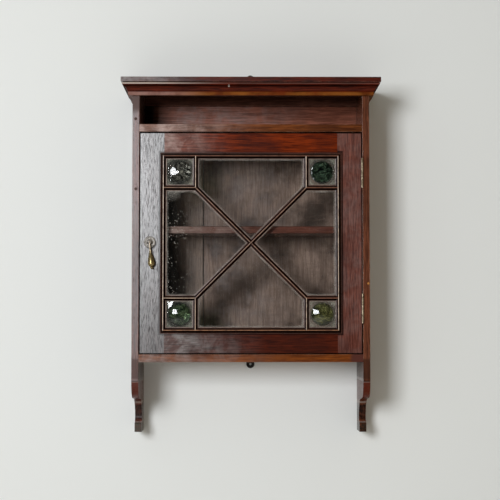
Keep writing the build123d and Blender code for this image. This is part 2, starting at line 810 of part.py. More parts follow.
def pear_drop():
    """The drop: a flat eye, a thin neck, a pear with a turned shoulder and a small tip."""
    neck_top = -fork_radius - 2 * tongue_side_clearance
    belly = -drop_belly_down
    shoulder = -(drop_belly_down + drop_length) / 2
    tip_foot = shoulder - drop_tip_step
    tip_middle = drop_tip_radius - drop_length
    bend = drop_tip_radius * math.sqrt(0.5)
    neck_foot = (drop_neck_radius, -drop_neck_length)
    half_way = ((drop_neck_radius + drop_belly_radius) / 2, (belly - drop_neck_length) / 2)
    swelling = TangentArc(neck_foot, half_way, tangent=(0, -1))
    filling = TangentArc(half_way, (drop_belly_radius, belly), tangent=swelling % 1)
    body = make_face([
        Line((0, neck_top), (drop_neck_radius, neck_top)),
        Line((drop_neck_radius, neck_top), neck_foot),
        swelling, filling,
        ThreePointArc((drop_belly_radius, belly),
                      (drop_belly_radius * drop_belly_turn, (belly + shoulder) / 2),
                      (drop_shoulder_radius, shoulder)),
        Line((drop_shoulder_radius, shoulder), (drop_tip_foot_radius, tip_foot)),
        Line((drop_tip_foot_radius, tip_foot), (drop_tip_radius, tip_middle)),
        ThreePointArc((drop_tip_radius, tip_middle), (bend, tip_middle - bend), (0, -drop_length)),
        Line((0, -drop_length), (0, neck_top)),
    ])
    pear = revolve(Plane.XZ * body, axis=Axis.Z)
    half_tongue = tongue_thickness / 2
    eye = rod((-half_tongue, 0, 0), (1, 0, 0), fork_radius - tongue_side_clearance, tongue_thickness)
    eye += block((-half_tongue, half_tongue), (-drop_neck_radius, drop_neck_radius),
                 (neck_top - cut_spare, 0))
    bore = pivot_pin_radius + hinge_running_clearance
    drop = pear + eye - rod((-tongue_thickness, 0, 0), (1, 0, 0), bore, 2 * tongue_thickness)
    return Pos(0, -post_pivot_stand, 0) * drop


# Ball catch

catch_level = door_bottom + catch_height
catch_y = front_y + door_thickness / 2
ball_x = -door_x - catch_ball_proud + catch_ball_radius


def catch_barrel():
    """A brass tube in the stile's edge, closed behind, with a lip that keeps the ball in."""
    tube = rod((-door_x, catch_y, catch_level), (1, 0, 0), catch_barrel_radius, catch_barrel_length)
    bore = catch_ball_radius + catch_ball_clearance
    tube -= rod((-door_x + catch_lip, catch_y, catch_level), (1, 0, 0), bore,
                catch_barrel_length - catch_lip - catch_bore_end)
    at_lip = catch_ball_radius - catch_ball_proud - catch_lip
    mouth = math.sqrt(catch_ball_radius ** 2 - at_lip ** 2) + catch_lip_clearance
    return tube - rod((-door_x - cut_spare, catch_y, catch_level), (1, 0, 0), mouth,
                      catch_lip + 2 * cut_spare)


def catch_ball():
    """The steel ball, standing a little proud of the stile."""
    return Pos(ball_x, catch_y, catch_level) * Sphere(catch_ball_radius)


def strike_blank():
    """The space of the strike plate in the side board."""
    return block((-inner_x - strike_thickness, -inner_x),
                 (catch_y - strike_width / 2, catch_y + strike_width / 2),
                 (catch_level - strike_height / 2, catch_level + strike_height / 2))


def catch_strike():
    """The strike plate with the round seat that the ball snaps towards."""
    seat = Pos(ball_x, catch_y, catch_level) * Sphere(catch_ball_radius + catch_seat_clearance)
    seat_hole = rod((-inner_x + cut_spare, catch_y, catch_level), (-1, 0, 0), screw_radius,
                    strike_thickness + 2 * cut_spare)
    return strike_blank() - seat - seat_hole


def build():
    """Make every node and write it."""
    os.makedirs("parts", exist_ok=True)

    housed = [
        ("bottom_board", bracket_drop, bottom_board_thickness, 0),
        ("upper_shelf", upper_shelf_underside, upper_shelf_thickness, 0),
        ("inner_shelf", inner_shelf_underside, inner_shelf_thickness, inner_shelf_setback),
    ]
    boards = {name: housed_board(underside, thickness, setback)
              for name, underside, thickness, setback in housed}
    sides = {"side_left": side_board(-1), "side_right": side_board(1)}
    for _, underside, thickness, setback in housed:
        for name in sides:
            sides[name] -= housing_tongue(underside, thickness, setback)

    frame = door_frame()
    post, nut = place_handle(handle_post()), place_handle(handle_nut())
    frame["handle_stile"] -= rod((handle_x, front_y - cut_spare, handle_level), (0, 1, 0), post_radius,
                                 door_thickness + 2 * cut_spare)
    frame["handle_stile"] -= rod((-door_x - cut_spare, catch_y, catch_level), (1, 0, 0),
                                 catch_barrel_radius, catch_barrel_length + cut_spare)
    ball_seat = Sphere(catch_ball_radius + catch_seat_clearance)
    sides["side_left"] -= strike_blank()
    sides["side_left"] -= Pos(ball_x, catch_y, catch_level) * ball_seat

    side_screws, door_screws, pins = [], [], []
    for name, level in hinge_levels.items():
        low = level - hinge_length / 2
        for fixed in (True, False):
            leaf = hinge_leaf(level, fixed)
            face_x = inner_x if fixed else door_x
            into = hinge_leaf_thickness if fixed else -hinge_leaf_thickness
            pocket = block((face_x, face_x + into), (front_y - cut_spare, front_y + hinge_leaf_width),
                           (low, low + hinge_length))
            cut = pocket + hinge_relief_cut(level)
            for solid_form, slotted in hinge_screws(level, fixed):
                leaf -= solid_form
                cut += solid_form
                (side_screws if fixed else door_screws).append(slotted)
            if fixed:
                sides["side_right"] -= cut
            else:
                frame["hinge_stile"] -= cut
            save(f"hinge_{name}_{'side' if fixed else 'door'}_leaf", leaf)
        pins.append(rod((pin_x, pin_y, low), (0, 0, 1), hinge_pin_radius, hinge_length))
    save("hinge_pins", *pins)
    save("hinge_side_screws", *side_screws)
    save("hinge_door_screws", *door_screws)

    left_back, right_back, level_back = back_boards()
    backs = {"back_board_left": left_back, "back_board_right": right_back, "back_board_level": level_back}
    top_board = top_board_shape()
    hanging_rail = block((-inner_x, inner_x), (back_face_y - hanging_rail_thickness, back_face_y),
                         (sides_top - hanging_rail_height, sides_top))
    hanger_screws = []
    for name, level, upward in (("top_hanger", top_hole_level, 1),
                                ("bottom_hanger", bottom_hole_level, -1)):
        plate, blank, screws = hanger(level, upward)
        save(name, plate)
        for solid_form, slotted in screws:
            blank += solid_form
            hanger_screws.append(slotted)
        for board_name in backs:
            backs[board_name] -= blank
        top_board -= blank
        hanging_rail -= blank
        boards["bottom_board"] -= blank
    save("hanger_screws", *hanger_screws)

    nails = back_nails()
    for nail in nails:
        for board_name in backs:
            backs[board_name] -= nail
        for board_name in ("bottom_board", "upper_shelf"):
            boards[board_name] -= nail
    save("back_nails", *nails)

    for name, board in {**boards, **sides, **backs}.items():
        save(name, one_solid(board))
    save("top_board", one_solid(top_board))
    save("hanging_rail", one_solid(hanging_rail))
    for name, length in zip(("cornice_front", "cornice_left", "cornice_right"), cornice()):
        save(name, length)
    save("cornice_rail", block((-inner_x, inner_x), (front_y, front_y + cornice_rail_thickness),
                               (sides_top - cornice_height + cornice_rail_lift, sides_top)))
    save("door_stop", block((-inner_x, -inner_x + stop_width),
                            (front_y + door_thickness + stop_clearance,
                             front_y + door_thickness + stop_clearance + stop_thickness),
                            (bottom_board_top, upper_shelf_underside)))

    for name, piece in frame.items():
        save(name, one_solid(piece))
    for name, length in bead_lengths().items():
        save(name, length)
    for name, length in corner_bars().items():
        save(name, length)
    rising, falling = diagonal_bars()
    save("bar_rising", rising)
    save("bar_falling", *falling)
    for name in cells:
        save(f"bullseye_{name}" if "_" in name else f"pane_{name}", one_solid(pane(name)))
    save("putty", *[one_solid(putty_ring(name)) for name in cells])

    save("handle_rose", place_handle(rose()))
    save("handle_post", post)
    save("handle_nut", nut)
    save("handle_drop", place_handle(pear_drop()))
    save("catch_barrel", catch_barrel())
    save("catch_ball", catch_ball())
    save("catch_strike", one_solid(catch_strike()))


build()
print(len(saved), "nodes")
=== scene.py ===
"""Looks of a hanging wall cabinet: old stained wood, clear and bull's-eye glass, aged brass.

Metres. X runs to the right, Y from the room into the wall and Z up, with the wall face at Y = 0.
"""
import math

import bmesh
import bpy
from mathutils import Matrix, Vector


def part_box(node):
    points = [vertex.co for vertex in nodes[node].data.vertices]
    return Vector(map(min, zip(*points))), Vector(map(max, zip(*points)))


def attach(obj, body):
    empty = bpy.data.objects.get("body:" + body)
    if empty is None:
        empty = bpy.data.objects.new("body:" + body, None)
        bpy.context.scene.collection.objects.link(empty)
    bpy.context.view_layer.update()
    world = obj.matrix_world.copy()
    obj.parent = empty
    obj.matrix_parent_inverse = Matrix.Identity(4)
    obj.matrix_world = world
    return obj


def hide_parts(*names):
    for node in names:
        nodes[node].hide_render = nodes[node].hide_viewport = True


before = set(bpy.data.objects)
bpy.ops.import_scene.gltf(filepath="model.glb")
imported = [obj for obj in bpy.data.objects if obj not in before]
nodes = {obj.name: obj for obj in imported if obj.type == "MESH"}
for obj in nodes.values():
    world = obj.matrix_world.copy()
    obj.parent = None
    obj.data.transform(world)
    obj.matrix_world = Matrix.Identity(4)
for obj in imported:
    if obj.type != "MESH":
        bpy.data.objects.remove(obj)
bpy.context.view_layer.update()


def middle_and_half(name, axis):
    """The middle of a node's box along an axis, and half its length."""
    low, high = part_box(name)
    return (low[axis] + high[axis]) / 2, (high[axis] - low[axis]) / 2


# The photograph's viewpoint, in metres and degrees
camera_place = (-0.0238, -2.9432, -0.2309)
camera_up = 3.22
camera_right = 0.45
camera_lens = 94.66
camera_sensor = 36.0

# Light of the room
window_place = (-1.42, -3.60, 0.42)
window_width = 1.05
window_height = 1.15
window_watts = 93.0
window_colour = (0.955, 0.975, 1.0)
room_light = 0.03
side_light = 0.36
cool_light = (0.92, 0.97, 1.0, 1.0)
warm_light = (1.0, 0.81, 0.52, 1.0)

# Spans of a direction's Y or X over which the room's light changes
front_to_side = (-0.95, -0.60)
cool_to_warm = (-0.5, 0.7)
front_to_back = (-0.05, 0.05)

# The stage
floor_level = -1.30
wall_reach = 4.0
wall_gap = 0.0006

# How far in from the edge of a bead its crest line lies
crest_inset = 0.00725

# Half widths and levels of the door, the glazing, the sides and the back, taken from the model's parts
door_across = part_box("hinge_stile")[1][0]
door_middle, door_up = middle_and_half("hinge_stile", 2)
bead_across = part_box("bead_right")[1][0]
bead_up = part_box("bead_top")[1][2] - door_middle
crest_across = bead_across - crest_inset
crest_up = bead_up - crest_inset
square_across, fillet_edge = middle_and_half("bar_upper_right_upright", 0)
square_up = middle_and_half("bar_upper_right_level", 2)[0] - door_middle
side_inner, side_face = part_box("side_right")[0][0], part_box("side_right")[1][0]
bracket_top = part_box("bottom_board")[0][2]
back_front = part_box("back_board_level")[0][1]

# Each coordinate of a direction halfway between two axes
diagonal = math.sqrt(0.5)


# Nodes of a material, one call for each

def new_material(name):
    """An empty node material and its tree."""
    material = bpy.data.materials.new(name)
    material.use_nodes = True
    material.node_tree.nodes.clear()
    return material, material.node_tree


def node(tree, kind, inputs=None, **settings):
    """A shader node with its settings, its sockets filled from values or linked from sockets."""
    made = tree.nodes.new("ShaderNode" + kind)
    for setting, value in settings.items():
        setattr(made, setting, value)
    for socket, value in (inputs or {}).items():
        if isinstance(value, bpy.types.NodeSocket):
            tree.links.new(value, made.inputs[socket])
        else:
            made.inputs[socket].default_value = value
    return made


def calc(tree, operation, *values):
    """The result of one sum."""
    return node(tree, "Math", dict(enumerate(values)), operation=operation).outputs[0]


def product(tree, first, *others):
    """Values multiplied together."""
    for other in others:
        first = calc(tree, "MULTIPLY", first, other)
    return first


def greatest(tree, first, *others):
    """The greatest of several values."""
    for other in others:
        first = calc(tree, "MAXIMUM", first, other)
    return first


def coordinate(tree, place, axis):
    """One coordinate of a place."""
    return node(tree, "SeparateXYZ", {0: place}).outputs[axis]


def measure_along(tree, place, direction):
    """How far a place is along a direction."""
    return node(tree, "VectorMath", {0: place, 1: direction}, operation="DOT_PRODUCT").outputs["Value"]


def remap(tree, value, low, high, to_low=0.0, to_high=1.0, soft=True):
    """A value moved from one span to another and held inside it."""
    made = node(tree, "MapRange", {"Value": value, "From Min": low, "From Max": high,
                                   "To Min": to_low, "To Max": to_high})
    made.interpolation_type = "SMOOTHSTEP" if soft else "LINEAR"
    return made.outputs[0]


def mix(tree, factor, first, second):
    """Two colours mixed by a factor."""
    return node(tree, "Mix", {0: factor, 6: first, 7: second}, data_type="RGBA").outputs[2]


def band(tree, value, start, stop, soft=0.0008):
    """1 where a value lies between two others, with soft ends."""
    return product(tree, remap(tree, value, start, start + soft),
                   remap(tree, value, stop - soft, stop, 1.0, 0.0))


def noise(tree, place, scale, detail=4.0, rough=0.55, bend=0.0):
    """Noise between 0 and 1 about a half."""
    return node(tree, "TexNoise", {"Vector": place, "Scale": scale, "Detail": detail,
                                   "Roughness": rough, "Distortion": bend}).outputs["Fac"]


def distance_across(tree, place, across, up):
    """How far a point is, seen from the front, from a mark at this place."""
    flat = node(tree, "VectorMath", {0: place, 1: (1, 0, 1)}, operation="MULTIPLY").outputs[0]
    return node(tree, "VectorMath", {0: flat, 1: (across, 0, up)}, operation="DISTANCE").outputs["Value"]


def tone(red, green, blue):
    """A colour from its screen values, 0 to 255, as the renderer takes it."""
    def linear(part):
        part /= 255
        return part / 12.92 if part <= 0.04045 else ((part + 0.055) / 1.055) ** 2.4
    return (linear(red), linear(green), linear(blue), 1.0)


def output(tree, shader):
    """Let a shader be what the material shows."""
    node(tree, "OutputMaterial", {"Surface": shader})


# Wood

# Tones of the grey film on the wood: old wax together with a painted sheen
grey_film = tone(152, 149, 148)
lilac_film = tone(166, 158, 162)
rosy_film = tone(192, 168, 160)

# Turns that lay the grain along a board, and how much longer than wide its marks are
along_x = (0, 0, 0)
along_z = (0, math.radians(90), 0)
along_y = (0, 0, math.radians(90))
rising = (0, math.radians(-45), 0)
falling = (0, math.radians(45), 0)
grain_stretch = 16.0
pore_stretch = 11.0
seed_steps = (0.731, 0.417, 0.293)

# How fine the patterns of the wood and its dirt are, in waves to a metre
figure_waves = 60
fibre_waves = 380
pore_waves = 760
mottle_waves = 11
ripple_waves = 75
film_waves = 26
wear_waves = 60
warp_waves = 16
crest_waves = 70
cornice_waves = 12
bracket_waves = 160

# Worn edges, and the dark of the pores
rubbed_width = 0.0020
rubbed_tone = tone(158, 116, 92)
grime_tone = tone(10, 6, 5)
pore_tone = tone(14, 6, 4)


def edge_distance(tree, place, low, high):
    """How far a point of a board's face is from the nearest edge of that face."""
    split = node(tree, "SeparateXYZ", {0: place})
    away = []
    for axis in range(3):
        middle = (low[axis] + high[axis]) / 2
        half = (high[axis] - low[axis]) / 2
        offset = calc(tree, "ABSOLUTE", calc(tree, "SUBTRACT", split.outputs[axis], middle))
        away.append(calc(tree, "SUBTRACT", half, offset))
    smaller = calc(tree, "MINIMUM", away[0], away[1])
    larger = greatest(tree, away[0], away[1])
    return greatest(tree, smaller, calc(tree, "MINIMUM", larger, away[2]))


def grain_of(tree, place, grain, seed, closed):
    """Figure, fibres and pores of a board, and the height that they give its face."""
    shift = [seed * step for step in seed_steps]
    along_grain = node(tree, "Mapping", {"Vector": place, "Location": shift, "Rotation": grain,
                                         "Scale": (grain_stretch, 1, 1)}, vector_type="TEXTURE").outputs[0]
    along_pores = node(tree, "Mapping", {"Vector": place, "Location": shift, "Rotation": grain,
                                         "Scale": (pore_stretch, 1, 1)}, vector_type="TEXTURE").outputs[0]
    figure = remap(tree, noise(tree, along_grain, figure_waves, 3, 0.6, 0.8), 0.34, 0.66)
    fibre = remap(tree, noise(tree, along_grain, fibre_waves, 3, 0.6, 0.2), 0.34, 0.66)
    pores = remap(tree, noise(tree, along_pores, pore_waves, 2, 0.6, 0.2), closed, closed + 0.16)
    height = calc(tree, "SUBTRACT", product(tree, fibre, 0.5), product(tree, pores, 0.5))
    return figure, fibre, pores, height


def wood(name, grain, tones, seed, box=None, rub=0.5, grime=0.0, coat=0.5, polish=0.2, shine=0.1,
         relief=0.12, flecks=0.3, closed=0.56, figured=0.3, cross=0.0, blotch=0.5, blotch_and_shadow_tone=None, bloom_and_sheen=0.0,
         sheen_fading=None, bloom_and_sheen_tone=grey_film, varnish=1.5, worn_foot=None, spots=(), smears_and_shadows=(),
         shade=None):
    """Polished open-pored wood. Its edges are worn pale or grimy, and a grey film lies on its face: old wax
    together with a painted sheen. A span along X gives where that film fades, with the share that is left,
    and worn_foot the span along Z over which the polish comes in, with the share it starts from. A spot is
    a mark with its place across and up, its radius and its tone, and some spots are painted shadows. A
    smear is a soft darkening with its place and its radius; those on the back boards are painted shadows."""
    material, tree = new_material(name)
    place = node(tree, "TexCoord").outputs["Object"]
    light, dark = tones
    figure, fibre, pores, height = grain_of(tree, place, grain, seed, closed)
    mottle = noise(tree, place, mottle_waves, 4, 0.6)
    streaks = calc(tree, "ADD", product(tree, figure, figured), product(tree, fibre, 1 - figured))
    colour = mix(tree, streaks, dark, light)
    colour = mix(tree, remap(tree, mottle, 0.42, 0.66, 0.0, blotch), colour, blotch_and_shadow_tone or dark)
    if cross:
        level = node(tree, "Mapping", {"Vector": place, "Scale": (4, 1, 1)}, vector_type="TEXTURE").outputs[0]
        ripple = noise(tree, level, ripple_waves, 5, 0.65, 1.2)
        colour = mix(tree, remap(tree, ripple, 0.46, 0.66, 0.0, cross), colour, dark)
    # The grey film is old wax together with a painted sheen, fading along X away from the window
    if bloom_and_sheen:
        patches = remap(tree, noise(tree, place, film_waves, 5, 0.65, 0.5), 0.35, 0.68, 0.25, 1.0)
        film = product(tree, patches, bloom_and_sheen, remap(tree, fibre, 0.0, 1.0, 0.66, 1.0))
        if sheen_fading:
            start, stop, kept = sheen_fading
            film = product(tree, film, remap(tree, coordinate(tree, place, "X"), start, stop, 1.0, kept))
        colour = mix(tree, film, colour, bloom_and_sheen_tone)
    colour = mix(tree, product(tree, pores, flecks), colour, pore_tone)
    if box:
        near = remap(tree, edge_distance(tree, place, *box), 0.0, rubbed_width, 1.0, 0.0)
        worn = remap(tree, noise(tree, place, wear_waves, 5, 0.7), 0.42, 0.66, 0.0, rub)
        colour = mix(tree, product(tree, near, worn), colour, rubbed_tone)
        colour = mix(tree, product(tree, near, grime), colour, grime_tone)
    dull = product(tree, pores, 0.66)
    # Spots are marks, and some are painted shadows
    for across, up, radius, spot_tone in spots:
        ragged = product(tree, distance_across(tree, place, across, up),
                         remap(tree, mottle, 0.3, 0.7, 0.75, 1.3))
        spot = remap(tree, ragged, radius * 0.6, radius, 0.9, 0.0)
        colour = mix(tree, spot, colour, spot_tone)
        dull = greatest(tree, dull, spot)
    # Smears darken softly; on the back boards they are painted shadows of the glazing bars and the inner
    # shelf
    for across, up, radius in smears_and_shadows:
        softly_dark = remap(tree, distance_across(tree, place, across, up), 0.0, radius, 0.75, 0.0)
        uneven = product(tree, softly_dark, remap(tree, mottle, 0.3, 0.6, 0.5, 1.0))
        colour = mix(tree, uneven, colour, blotch_and_shadow_tone or dark)
    if shade:
        colour, darkening = shade(tree, place, colour)
        dull = greatest(tree, dull, darkening)
    fine = node(tree, "Bump", {"Height": height, "Strength": relief, "Distance": 0.0002}).outputs[0]
    bump = node(tree, "Bump", {"Height": noise(tree, place, warp_waves, 2, 0.5), "Strength": 0.3,
                               "Distance": 0.0010, "Normal": fine}).outputs[0]
    roughness = calc(tree, "ADD", remap(tree, mottle, 0.3, 0.7, polish - 0.03, polish + 0.06),
                     product(tree, pores, 0.12))
    clean = calc(tree, "SUBTRACT", 1.0, dull)
    gloss = product(tree, clean, coat)
    if worn_foot:
        start, stop, kept = worn_foot
        gloss = product(tree, gloss, remap(tree, coordinate(tree, place, "Z"), start, stop, kept, 1.0))
    shader = node(tree, "BsdfPrincipled", {"Base Color": colour, "Roughness": roughness, "Normal": bump,
                                           "Specular IOR Level": product(tree, clean, shine),
                                           "Coat Weight": gloss, "Coat IOR": varnish,
                                           "Coat Roughness": polish, "Coat Normal": bump})
    output(tree, shader.outputs[0])
    return material


# Bands across a moulding, by the distance from its crest line: the worn crest, painted shade in the quirks
# and down the side away from the light, and the dusty fillet
crest_edge = (0.0002, 0.0009)
moulding_quirk = (0.0014, 0.0042)
shaded_side = (0.0007, 0.0056)
dusty_fillet = (0.0053, 0.0060)

# Bands down the cornice from its top: a painted shadow under the top board, the bead's painted highlight,
# painted shade in the quirk, and the foot
cornice_joint = (0.0006, 0.0014)
cornice_bead = (0.0012, 0.0048)
cornice_quirk = (0.0050, 0.0105)
cornice_foot = (0.0180, 0.0215)

# Spans across the front over which the painted highlight on the cornice's bead fades and the painted sheen on
# its foot turns ochre
bead_fading = (-0.24, -0.04)
foot_turning = (-0.20, -0.08)

# Painted shade on the door: in from its edge, in the gap round it, and a painted shadow out from the outside
# of its beads
door_edge_shade = (0.0006, 0.0020)
bead_foot_shadow = (-0.0030, 0.0040)

# Bands down a bracket from the underside of the bottom board, painting the light and shade of its profile,
# and the spans over which the painted shade on its inner face starts and thins
bracket_neck = (-0.0100, 0.0385)
bracket_quirk = (0.0385, 0.0410)
bracket_arris = (0.0410, 0.0430)
bracket_nose = (0.0400, 0.0860)
bracket_shoulder = (0.0860, 0.0925)
bracket_hollow = (0.0920, 0.1310)
bracket_ledge = (0.1310, 0.1345)
bracket_foot = (0.1320, 0.1350)
inner_shade_start = (-0.0100, 0.0100)
inner_shade_thinning = (0.0300, 0.0500)


def crest_shade(across, out, inward, lit, crest_tone):
    """Colour across a moulding by its distance from its crest line: a thin worn crest, painted shade in the
    quirks and down the side away from the light, and a dusty fillet at the glass. Across is the
    direction, out the line's place along it, inward the side with the glass, or 0 for both, and lit
    the side towards the window."""
    def shade(tree, place, colour):
        offset = calc(tree, "SUBTRACT", measure_along(tree, place, across), out)
        away = calc(tree, "ABSOLUTE", offset)
        worn = remap(tree, noise(tree, place, crest_waves, 4, 0.7), 0.36, 0.58, 0.4, 1.0)
        # Painted shade in the quirks and down the side away from the window
        darkening = greatest(tree, band(tree, away, *moulding_quirk),
                        band(tree, product(tree, offset, -lit), *shaded_side))
        colour = mix(tree, product(tree, darkening, 0.92), colour, tone(10, 5, 3))
        crest = product(tree, remap(tree, away, *crest_edge, 1.0, 0.0), worn)
        colour = mix(tree, product(tree, crest, 0.85), colour, crest_tone)
        towards_glass = product(tree, offset, inward) if inward else away
        dusty = product(tree, remap(tree, towards_glass, *dusty_fillet), worn)
        return mix(tree, product(tree, dusty, 0.6), colour, tone(170, 154, 142)), darkening
    return shade


def cornice_shade(top):
    """Colour up the cornice, measured down from its top: a painted shadow under the top board, painted shade
    in the quirk, a painted highlight on the bead that fades to the right, a deep red cove, and a foot
    painted paler, with a painted sheen on the left that turns ochre."""
    def shade(tree, place, colour):
        split = node(tree, "SeparateXYZ", {0: place})
        down = calc(tree, "SUBTRACT", top, split.outputs["Z"])
        # A painted highlight on the bead, fading to the right
        fading = remap(tree, split.outputs["X"], *bead_fading, 0.8, 0.06)
        bead = product(tree, band(tree, down, *cornice_bead), fading)
        colour = mix(tree, bead, colour, tone(214, 196, 184))
        # A painted shadow under the top board and painted shade in the quirk
        darkening = greatest(tree, remap(tree, down, *cornice_joint, 1.0, 0.0),
                        band(tree, down, *cornice_quirk, 0.003))
        colour = mix(tree, product(tree, darkening, 0.9), colour, tone(12, 5, 3))
        # The foot is painted paler, with a painted sheen on the left that turns ochre
        patches = remap(tree, noise(tree, place, cornice_waves, 4, 0.6), 0.40, 0.62, 0.15, 0.65)
        foot_tone = mix(tree, remap(tree, split.outputs["X"], *foot_turning), tone(168, 132, 120),
                        tone(150, 92, 36))
        foot = product(tree, remap(tree, down, *cornice_foot), patches)
        return mix(tree, foot, colour, foot_tone), darkening
    return shade


def door_shade(beside):
    """Painted shade in the gap round the edge of the door and, by the amount given, a painted shadow along
    the outside of its beads.
    """
    def shade(tree, place, colour):
        split = node(tree, "SeparateXYZ", {0: place})
        across = calc(tree, "ABSOLUTE", split.outputs["X"])
        up = calc(tree, "ABSOLUTE", calc(tree, "SUBTRACT", split.outputs["Z"], door_middle))
        to_edge = calc(tree, "MINIMUM", calc(tree, "SUBTRACT", door_across, across),
                       calc(tree, "SUBTRACT", door_up, up))
        from_bead = calc(tree, "SUBTRACT", greatest(tree, across, up), bead_across)
        # Painted shade in the gap round the door, and a painted shadow beside the beads
        darkening = greatest(tree, remap(tree, to_edge, *door_edge_shade, 0.95, 0.0),
                        product(tree, band(tree, from_bead, *bead_foot_shadow, 0.0020), beside))
        return mix(tree, darkening, colour, tone(12, 6, 5)), darkening
    return shade


def corner_shade(start, stop):
    """Painted shadow on the front of a back board, fading along X from start to stop."""
    def shade(tree, place, colour):
        split = node(tree, "SeparateXYZ", {0: place})
        # Painted shadow of the side, on the front face of the board only
        front = remap(tree, split.outputs["Y"], back_front + 0.001, back_front + 0.002, 1.0, 0.0)
        painted_shade = product(tree, front, remap(tree, split.outputs["X"], start, stop, 0.93, 0.0))
        return mix(tree, painted_shade, colour, tone(3, 2, 2)), painted_shade
    return shade


def bracket_shade(red, foot, inner_shade, neck_shadow):
    """Colour down a side board's bracket, measured below the bottom board, painting the light and shade of
    its profile: a painted shadow on the neck, painted shade in the black quirk, a nose in painted shade,
    painted highlights on the shoulder, the ledge and the arris, painted shade in the blackened hollow, and
    a foot. Red and foot are the tones of the nose and the foot, and the last two say how dark the painted
    shade on the inner face and the painted shadow on the neck are. The outer face is left plain."""
    def shade(tree, place, colour):
        split = node(tree, "SeparateXYZ", {0: place})
        down = calc(tree, "SUBTRACT", bracket_top, split.outputs["Z"])
        across = calc(tree, "ABSOLUTE", split.outputs["X"])
        # Painted shade on the inner face, thinning down the bracket
        painted_shade = product(tree, remap(tree, across, side_inner + 0.0001, side_inner + 0.0005, inner_shade, 0.0),
                       remap(tree, down, *inner_shade_start), remap(tree, down, *inner_shade_thinning, 1.0, 0.4))
        colour = mix(tree, painted_shade, colour, tone(24, 15, 11))
        edge = remap(tree, across, side_face - 0.0006, side_face - 0.0001, 1.0, 0.0)
        # A painted shadow on the neck, just under the bottom board
        neck = product(tree, band(tree, down, *bracket_neck, 0.006), edge, neck_shadow)
        colour = mix(tree, neck, colour, tone(52, 32, 24))
        uneven = remap(tree, noise(tree, place, bracket_waves, 4, 0.7), 0.36, 0.62, 0.55, 1.0)
        grain = product(tree, edge, uneven)
        # The nose and the hollow in painted shade
        colour = mix(tree, product(tree, band(tree, down, *bracket_nose, 0.004), grain), colour, red)
        hollow = product(tree, band(tree, down, *bracket_hollow, 0.006), grain)
        colour = mix(tree, hollow, colour, tone(24, 11, 8))
        colour = mix(tree, product(tree, remap(tree, down, *bracket_foot), grain), colour, foot)
        # Painted shade in the quirk
        quirk = product(tree, band(tree, down, *bracket_quirk), edge)
        colour = mix(tree, quirk, colour, tone(12, 5, 3))
        # Painted highlights on the shoulder, the ledge and the arris
        painted_highlights = greatest(tree, band(tree, down, *bracket_shoulder, 0.002),
                          band(tree, down, *bracket_ledge), band(tree, down, *bracket_arris))
        colour = mix(tree, product(tree, painted_highlights, grain, 0.5), colour, tone(168, 156, 148))
        dulled = product(tree, remap(tree, down, bracket_quirk[0], bracket_quirk[0] + 0.0035), edge, 0.75)
        return colour, greatest(tree, painted_shade, dulled, neck)
    return shade


# Glass

# Waves to a metre, spans and marks of the dust on the clear panes
patch_waves = 30
haze_waves = 14
rim_waves = 90
rim_waver = 0.004
rim_fading = (0.0002, 0.0040)
corner_round = 0.012
diagonal_pull = 1.6
flake_cells = 170.0
flake_size = (0.12, 0.18)
flake_waves = 45
flecked_span = (-0.150, -0.095)
smoke_place = (-0.168, 0.050)
smoke_span = (0.004, 0.024)
pane_waves = 25

# Waves to a metre and radii of the bull's-eye glass
swirl_waves = 70
streak_waves = 55
broken_waves = 34
ring_waves = 1300.0
ring_waver = 0.012
dark_ring = (0.0185, 0.0255)
dusty_radii = (0.030, 0.040)
dusty_waver = 0.008

# How strongly glass bends light
glass_bending = 1.5


